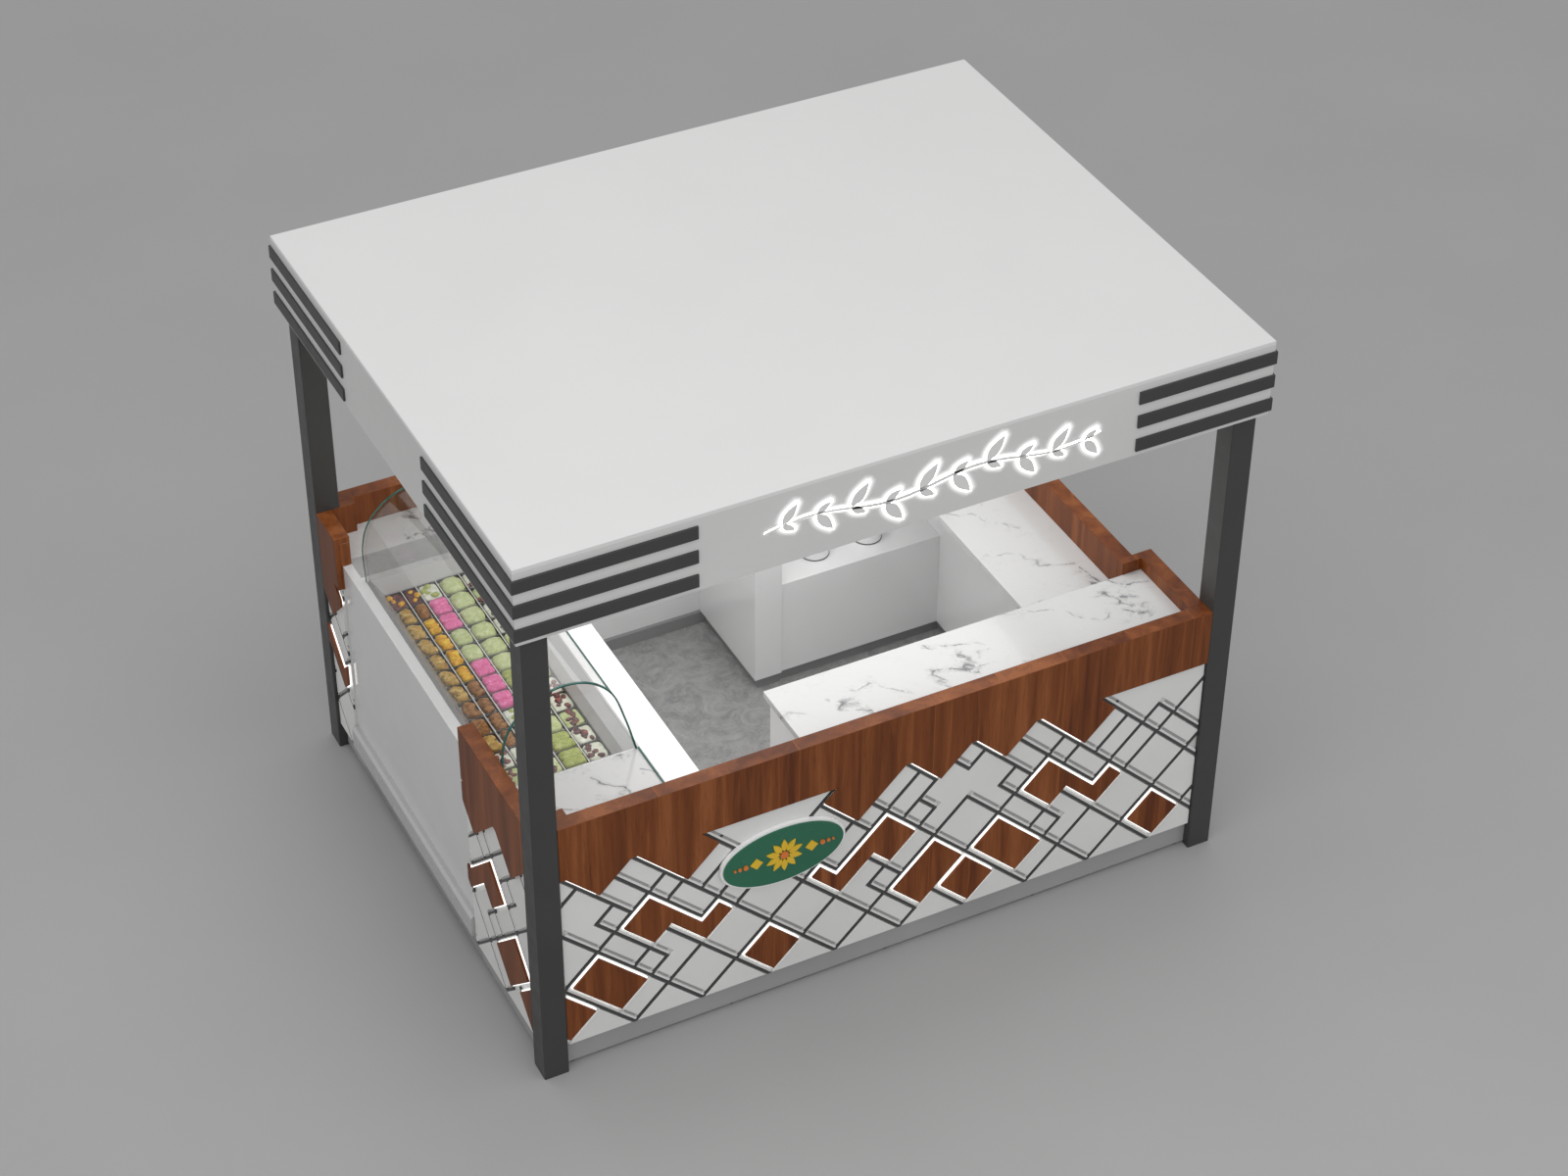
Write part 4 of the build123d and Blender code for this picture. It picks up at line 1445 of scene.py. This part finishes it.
@dataclass
class GlassCase(Assembly):
    """The curved canopy and its end panes.

    The outline runs from the front foot over the crest to the rear foot, each point measured from the left
    edge of the roof and from the counter top.
    """

    thickness: float = 0.008
    rims: Point = (0.0065, 0.0023)
    outline: tuple[Point, ...] = ((0.100, 0.0), (0.097, 0.16), (0.128, 0.277), (0.215, 0.368), (0.335, 0.408),
                                  (0.452, 0.384), (0.543, 0.298), (0.595, 0.150), (0.633, 0.0))
    sheet_end: int = 6
    steps: int = 9
    upstand: tuple[float, float, float] = (0.011, 0.006, 0.007)

    def curve(self) -> list[Point]:
        """A smooth run through the outline.

        Returns:
            Points in turn, measured as the outline is.
        """
        points = [Vector(point) for point in self.outline]
        points = [2 * points[0] - points[1], *points, 2 * points[-1] - points[-2]]
        found = []
        for p, q, r, s in zip(points, points[1:], points[2:], points[3:]):
            for t in (count / self.steps for count in range(self.steps)):
                bend, twist = 2 * p - 5 * q + 4 * r - s, 3 * q - p - 3 * r + s
                found.append((q + (r - p) * (t / 2) + bend * (t * t / 2) + twist * (t ** 3 / 2)).to_tuple())
        return found + [self.outline[-1]]

    def add(self) -> None:
        """Add the canopy sheet, the end panes and the glass strip along the shelf."""
        shelf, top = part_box("service_shelf")[0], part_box("service_shelf")[1].z
        low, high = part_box("end_glasses")
        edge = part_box("roof_deck")[0].x
        run = [Vector((edge + x, 0, top + z)) for x, z in self.curve()]
        self.sheet(run[:self.sheet_end * self.steps + 1], low.y + self.thickness, high.y - self.thickness)
        self.panes(run, (low.y, high.y - self.thickness))
        strip = Piece()
        near, far, height = self.upstand
        strip.block((shelf.x - near, shelf.y, top), (shelf.x - far, low.y, top + height))
        strip.store("shelf_upstand", Finishes.RIM)

    @staticmethod
    def inward(run: Sequence[Vector], index: int, amount: float) -> Vector:
        """A point of the outline moved inwards, but kept above the counter top.

        Args:
            run: the outline.
            index: number of the point.
            amount: how far it is moved.

        Returns:
            The moved point.
        """
        way = (run[min(index + 1, len(run) - 1)] - run[max(index - 1, 0)]).normalized()
        moved = run[index] - Vector((-way.z, 0, way.x)) * amount
        return Vector((moved.x, 0, max(moved.z, run[0].z)))

    def sheet(self, run: Sequence[Vector], near: float, far: float) -> None:
        """Make the curved sheet between the end panes.

        Args:
            run: its outline.
            near: where it starts along the display.
            far: where it ends.
        """
        piece = Piece()
        rings = []
        for index, outer in enumerate(run):
            inner = self.inward(run, index, self.thickness)
            corners = ((outer, near), (outer, far), (inner, far), (inner, near))
            rings.append([piece.mesh.verts.new((at.x, y, at.z)) for at, y in corners])
        for first, second in zip(rings, rings[1:]):
            piece.join(first, second)
        piece.mesh.faces.new(rings[0])
        piece.mesh.faces.new(rings[-1]).material_index = 1
        piece.store("canopy_sheet", Finishes.SHEET, "curved_glass", CREASE_ANGLE, Finishes.RIM)

    def panes(self, run: Sequence[Vector], places: Sequence[float]) -> None:
        """Make the flat panes at both ends.

        Args:
            run: their outline.
            places: where each one starts along the display.
        """
        piece = Piece()
        faces = piece.mesh.faces
        for y, rim in zip(places, self.rims):
            inner = [self.inward(run, index, rim) for index in range(len(run))]
            lines = [[piece.mesh.verts.new((at.x, y + depth, at.z)) for at in line] for line, depth in (
                (inner, 0.0), (run, 0.0), (run, self.thickness), (inner, self.thickness))]
            faces.new(lines[0])
            faces.new(lines[3][::-1])
            for first, second in zip(lines, lines[1:]):
                piece.join(first, second, False, 1)
            for end in (0, -1):
                faces.new([line[end] for line in lines]).material_index = 1
            faces.new([lines[0][0], lines[0][-1], lines[3][-1], lines[3][0]])
        piece.store("end_panes", Finishes.PANE, "end_glasses", None, Finishes.RIM)


@dataclass
class FoodDisplay(Assembly):
    """The glass display: cabinet, well and pans of food."""

    divider: float = 0.005
    shares: tuple[float, ...] = (70.0, 60.0, 80.0, 95.0, 85.0)
    tray_rise: float = 0.002
    tray_drop: float = 0.012
    tray_edge: float = 0.002
    rail: float = 0.002
    rail_rise: float = 0.0008
    rail_edge: float = 0.0006
    side_gap: float = 0.010
    side_height: Point = (0.0025, 0.0005)
    ledge_place: Point = (0.028, 0.158)
    ledge_thickness: float = 0.0012
    ledge_edge: float = 0.0004
    rim: float = 0.008
    hopper: float = 0.065
    layout: tuple[str, ...] = (
        "XMBDDBBBBBBK",
        "XMDDDDAAAADK",
        "XPWWPPPGGPPW",
        "OOGWOOGGGGGG",
        "MMXMMXMXMMXM",
    )
    # The front panel, lip, plinth and well take grey copies of the white laminate, darkened as painted shade.
    DRESSED = {"service_shelf": Finishes.SHELF, "pan_dividers": Finishes.DIVIDER, **{
        "display_" + part: finish for part, finish in (
            ("body", Finishes.WHITE), ("top_frame", Finishes.WHITE), ("well", Finishes.WELL),
            ("front_panel", Finishes.DISPLAY), ("lip", Finishes.DISPLAY), ("plinth", Finishes.PLINTH),
            ("skirting", Finishes.SKIRTING), ("base", Finishes.SKIRTING), ("marble_ends", Finishes.SLAB))}}

    def add(self) -> None:
        """Line the well and fill its pans."""
        self.lining()
        self.food()

    def lining(self) -> None:
        """Add a steeper rear face, a dark plate of painted shade on the side towards the customer, and the ledge
        beside the well, a grey plate of painted shade.
        """
        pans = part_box("pan_dividers")
        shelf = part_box("service_shelf")
        low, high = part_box("display_well")
        foot, back = pans[1].z + 0.008, (shelf[0].x - self.rim, shelf[1].z - 0.001)
        rear = ((pans[1].x + 0.001, foot), (pans[1].x + 0.026, shelf[1].z - 0.022), back, (back[0], foot))
        line = [(low.x - self.rim, high.z), (low.x + self.rim, high.z), (pans[0].x + 0.003, high.z - self.hopper)]
        upper, lower = self.side_height
        side = [(x, z + upper) for x, z in line] + [(x, z + lower) for x, z in line[::-1]]
        # well_side is a dark plate over the sloping side, as painted shade.
        for name, outline, gap, finish in (("well_shoulder", rear, self.rim, Finishes.WELL),
                                           ("well_side", side, self.side_gap, Finishes.SIDE)):
            piece = Piece()
            piece.prism([(x, low.y + gap, z) for x, z in outline], (0, high.y - low.y - 2 * gap, 0))
            piece.store(name, finish)
        # The rear ledge: a thin dark grey plate on the slab, painted shade of the step beside the well.
        ledge = Piece()
        near, far = self.ledge_place
        start = (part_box("display_marble_ends")[0].x + 0.001, high.y + near, high.z)
        ledge.block(start, (high.x - 0.002, high.y + far, high.z + self.ledge_thickness), self.ledge_edge)
        ledge.store("rear_ledge", Finishes.LEDGE)

    def food(self) -> None:
        """Add trays with lumps, cubes and slices in place of the plain portions."""
        kinds = FoodKinds()
        low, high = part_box("pan_dividers")
        scale = (high.x - low.x) / sum(self.shares)
        trays, rails = Piece(), Piece()
        left, gap, rail = low.x, self.divider, self.rail
        for column, (share, letters) in enumerate(zip(self.shares, self.layout)):
            right = left + share * scale
            pitch = (high.y - low.y) / len(letters)
            for row, letter in enumerate(letters):
                near = low.y + row * pitch
                corners = (Vector((left + gap, near + gap, low.z + self.tray_rise)),
                           Vector((right - gap, near + pitch - gap, high.z - self.tray_drop)))
                trays.block(*corners, self.tray_edge)
                kinds.fill(letter, *corners, column * len(letters) + row)
            if column:
                end = (left + rail, high.y, high.z + self.rail_rise)
                rails.block((left - rail, low.y, high.z - rail), end, self.rail_edge)
            left = right
        trays.store("food_trays", Finishes.TRAY, "food_portions")
        rails.store("tray_rails", Finishes.TRAY)
        kinds.store()


@dataclass(frozen=True)
class Lump:
    """One kind of soft rounded food: its size, how square and rough it is, and how finely it is cut."""

    size: tuple[float, float, float]
    power: float
    rough: float
    cuts: int = 6
    waves: tuple[Point, ...] = ((1.6, 1.0), (4.0, 0.5))

    def add(self, mesh: bmesh.types.BMesh, centre: Vector, scale: Sequence[float], seed: float,
            turn: float = 0.0) -> None:
        """Add a lump to a mesh.

        Args:
            mesh: the mesh to add to.
            centre: its middle.
            scale: factors for its size.
            seed: its own number, for its unevenness.
            turn: how far it is turned about its upright axis.
        """
        places, faces = self.cube(self.cuts)
        spin = Matrix.Rotation(turn, 3, "Z")
        shift = Vector((seed, seed * 1.7, 0.0))
        half = Vector(self.size) * Vector(scale) / 2
        verts = []
        for corner in places:
            place = corner / sum(abs(part) ** self.power for part in corner) ** (1 / self.power)
            wave = sum(height * noise.noise(place * often + shift) for often, height in self.waves)
            verts.append(mesh.verts.new(centre + spin @ (place * (1 + self.rough * wave) * half)))
        for face in faces:
            mesh.faces.new([verts[index] for index in face])

    @staticmethod
    def cube(count: int) -> tuple[list[Vector], list[list[int]]]:
        """A cube from -1 to 1 with its sides cut into squares.

        Args:
            count: squares along each side.

        Returns:
            Its corners, and the corner numbers of each square.
        """
        numbers: dict[tuple[int, ...], int] = {}
        faces = []
        for axis, end, row, column in product(range(3), (0, count), range(count), range(count)):
            ring = []
            for key in ([row, column], [row + 1, column], [row + 1, column + 1], [row, column + 1]):
                key.insert(axis, end)
                ring.append(numbers.setdefault(tuple(key), len(numbers)))
            faces.append(ring if end else ring[::-1])
        return [Vector([2 * part / count - 1 for part in key]) for key in numbers], faces


@dataclass
class FoodKinds:
    """The lumps of every kind, gathered kind by kind.

    Shifts, sways and widths are shares of the tray, apart from the slices' sway. Rises and the sizes of
    bits are in metres. A range is a least value and what chance may add to it.
    """

    slice_shift: float = 0.235
    slice_sway: float = 0.006
    slice_rise: float = 0.004
    bun_shift: float = 0.27
    bun_sway: float = 0.16
    bun_turn: float = 0.7
    bun_rise: Point = (0.002, 0.005)
    bun_width: Point = (0.78, 0.20)
    loaf_drop: float = 0.004
    bit_spread: Point = (0.72, 0.84)
    bit_rise: float = 0.014
    bit_size: Point = (0.016, 0.012)
    pieces: dict[FoodKind, Piece] = field(default_factory=lambda: {kind: Piece() for kind in FoodKind})
    BUNS: ClassVar[dict[str, FoodKind]] = {"B": FoodKind.BUN, "A": FoodKind.AMBER, "D": FoodKind.DARK}
    SLICES: ClassVar[dict[str, FoodKind]] = {"P": FoodKind.PINK, "O": FoodKind.OLIVE}
    BEDS: ClassVar[dict[str, tuple[FoodKind, FoodKind, int]]] = {
        "W": (FoodKind.WHITE, FoodKind.OLIVE, 4), "M": (FoodKind.WHITE, FoodKind.MIXED, 6),
        "X": (FoodKind.PALE, FoodKind.MIXED, 6), "K": (FoodKind.MIXED, FoodKind.AMBER, 3)}
    SLICE = Lump((0.97, 0.50, 0.036), 5.0, 0.05)
    BUN = Lump((1.0, 0.41, 0.034), 2.7, 0.20)
    LOAF = Lump((1.0, 1.0, 0.058), 3.4, 0.09, 9)
    BED = Lump((1.0, 1.0, 0.030), 5.0, 0.10)
    BIT = Lump((1.3, 1.0, 0.6), 2.2, 0.15, 4)

    @staticmethod
    def chance(seed: float) -> float:
        """A steady number between 0 and 1 that belongs to a seed."""
        return math.modf(abs(math.sin(seed * 12.9898) * 43758.5453))[0]

    def sway(self, seed: float, reach: float) -> float:
        """A steady number that lies up to half the reach off zero."""
        return (self.chance(seed) - 0.5) * reach

    def pick(self, limits: Point, seed: float) -> float:
        """A steady number from a range."""
        return limits[0] + limits[1] * self.chance(seed)

    def fill(self, letter: str, low: Vector, high: Vector, seed: int) -> None:
        """Put food into one tray.

        Args:
            letter: what it holds.
            low: lowest corner of the tray.
            high: highest corner of the tray.
            seed: the tray's own number.
        """
        size = high - low
        tray = (size.x, size.y, 1.0)
        middle = Vector(((low.x + high.x) / 2, (low.y + high.y) / 2, high.z))
        if letter in self.SLICES:
            for side in (-1, 1):
                sway = self.sway(seed + side, self.slice_sway)
                place = middle + Vector((sway, side * size.y * self.slice_shift, self.slice_rise))
                self.SLICE.add(self.pieces[self.SLICES[letter]].mesh, place, tray, seed + side * 0.37)
        elif letter in self.BUNS:
            for side in (-1, 0, 1):
                sway = self.sway(seed * 1.9 + side, size.x * self.bun_sway)
                rise = self.pick(self.bun_rise, seed + side)
                place = middle + Vector((sway, side * size.y * self.bun_shift, rise))
                scale = (size.x * self.pick(self.bun_width, seed + side * 3), size.y, 1.0)
                turn = self.sway(seed * 2.0 + side, self.bun_turn)
                self.BUN.add(self.pieces[self.BUNS[letter]].mesh, place, scale, seed * 1.3 + side, turn)
        elif letter in self.BEDS:
            bed, bits, count = self.BEDS[letter]
            self.BED.add(self.pieces[bed].mesh, middle, tray, seed)
            for index in range(count):
                spot = seed * 7.0 + index
                across, along = size.x * self.bit_spread[0], size.y * self.bit_spread[1]
                shift = Vector((self.sway(spot, across), ((index + 0.5) / count - 0.5) * along, self.bit_rise))
                scale = (self.pick(self.bit_size, spot + 0.5),) * 3
                self.BIT.add(self.pieces[bits].mesh, middle + shift, scale, spot, self.chance(spot + 0.2) * 3)
        else:
            place = middle - Vector((0, 0, self.loaf_drop))
            self.LOAF.add(self.pieces[FoodKind.PALE].mesh, place, tray, seed * 0.7)

    def store(self) -> None:
        """Turn the gathered lumps into pieces."""
        for kind, piece in self.pieces.items():
            name = "food_" + kind.name.lower()
            piece.store(name, Food(name, *kind.value), None, math.pi)


# ---- room, light and camera ---------------------------------------------------------------


@dataclass
class Studio:
    """Floor, soft light and the camera."""

    floor_size: float = 60.0
    floor_colour: Colour = (0.37, 0.37, 0.37)
    world_strength: float = 0.74
    ceiling_gap: float = 0.03
    camera_place: Colour = (-4.6348, -9.1956, 9.1913)
    azimuth: float = 27.228
    elevation: float = 38.348
    roll: float = 0.345
    lens: float = 76.33
    sensor: float = 36.0
    reach: float = 200.0

    def build(self) -> None:
        """Make everything around the kiosk."""
        self.floor()
        self.lights()
        self.camera()

    def floor(self) -> None:
        """A plain pale floor."""
        data = bpy.data.meshes.new("studio_floor")
        half = self.floor_size / 2
        data.from_pydata([(-half, -half, 0), (half, -half, 0), (half, half, 0), (-half, half, 0)], [], [(0, 1, 2, 3)])
        graph = Graph("studio_floor")
        graph.surface(graph.tones(graph.noise(0.8), self.floor_colour, (0.3, 0.98), (0.7, 1.02)), 0.7)
        data.materials.append(graph.material)
        link("studio_floor", data)

    def lights(self) -> None:
        """An even sky, three broad lamps around the kiosk and one under its roof."""
        world = bpy.data.worlds.new("studio_world")
        world.use_nodes = True
        sky = world.node_tree.nodes["Background"].inputs
        sky[0].default_value, sky[1].default_value = (1.0, 1.0, 1.0, 1.0), self.world_strength
        bpy.context.scene.world = world
        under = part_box("ceiling_panel")[0].z - self.ceiling_gap
        for name, place, target, size, power in (
                ("overhead", (-1.5, -2.0, 8.0), (0.0, 0.0, 1.0), (6.0, 6.0), 130.0),
                ("side", (-7.0, -5.0, 4.0), (0.0, 0.0, 1.0), (5.0, 5.0), 16.0),
                ("front", (0.5, -7.0, 3.6), (0.0, 0.0, 0.8), (5.0, 2.0), 45.0),
                ("under_roof", (0.0, 0.0, under), (0.0, 0.0, 0.0), (2.5, 1.8), 27.0)):
            data = bpy.data.lights.new(name, "AREA")
            data.shape, data.energy = "RECTANGLE", power
            data.size, data.size_y = size
            made = link(name, data)
            made.location = place
            made.rotation_euler = (Vector(target) - Vector(place)).to_track_quat("-Z", "Y").to_euler()

    def camera(self) -> None:
        """The camera, high in front of the left corner."""
        data = bpy.data.cameras.new("camera")
        data.lens, data.sensor_width, data.clip_end = self.lens, self.sensor, self.reach
        made = link("camera", data)
        az, el = math.radians(self.azimuth), math.radians(self.elevation)
        forward = Vector((math.sin(az) * math.cos(el), math.cos(az) * math.cos(el), -math.sin(el)))
        turn = forward.to_track_quat("-Z", "Y").to_matrix().to_4x4()
        roll = Matrix.Rotation(math.radians(self.roll), 4, "Z")
        made.matrix_world = Matrix.Translation(self.camera_place) @ turn @ roll
        bpy.context.scene.camera = made
        bpy.context.scene.view_settings.view_transform = "Standard"


def main() -> None:
    """Build the kiosk around its frame."""
    logging.basicConfig(level=logging.INFO, format="%(name)s %(message)s")
    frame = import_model()
    for assembly in (Roof(), Ornament(), PatternedWalls(), Plaque(), Counters(), GlassCase(), FoodDisplay()):
        assembly.build(frame["nodes"])
    Studio().build()


if __name__ == "__main__":
    main()
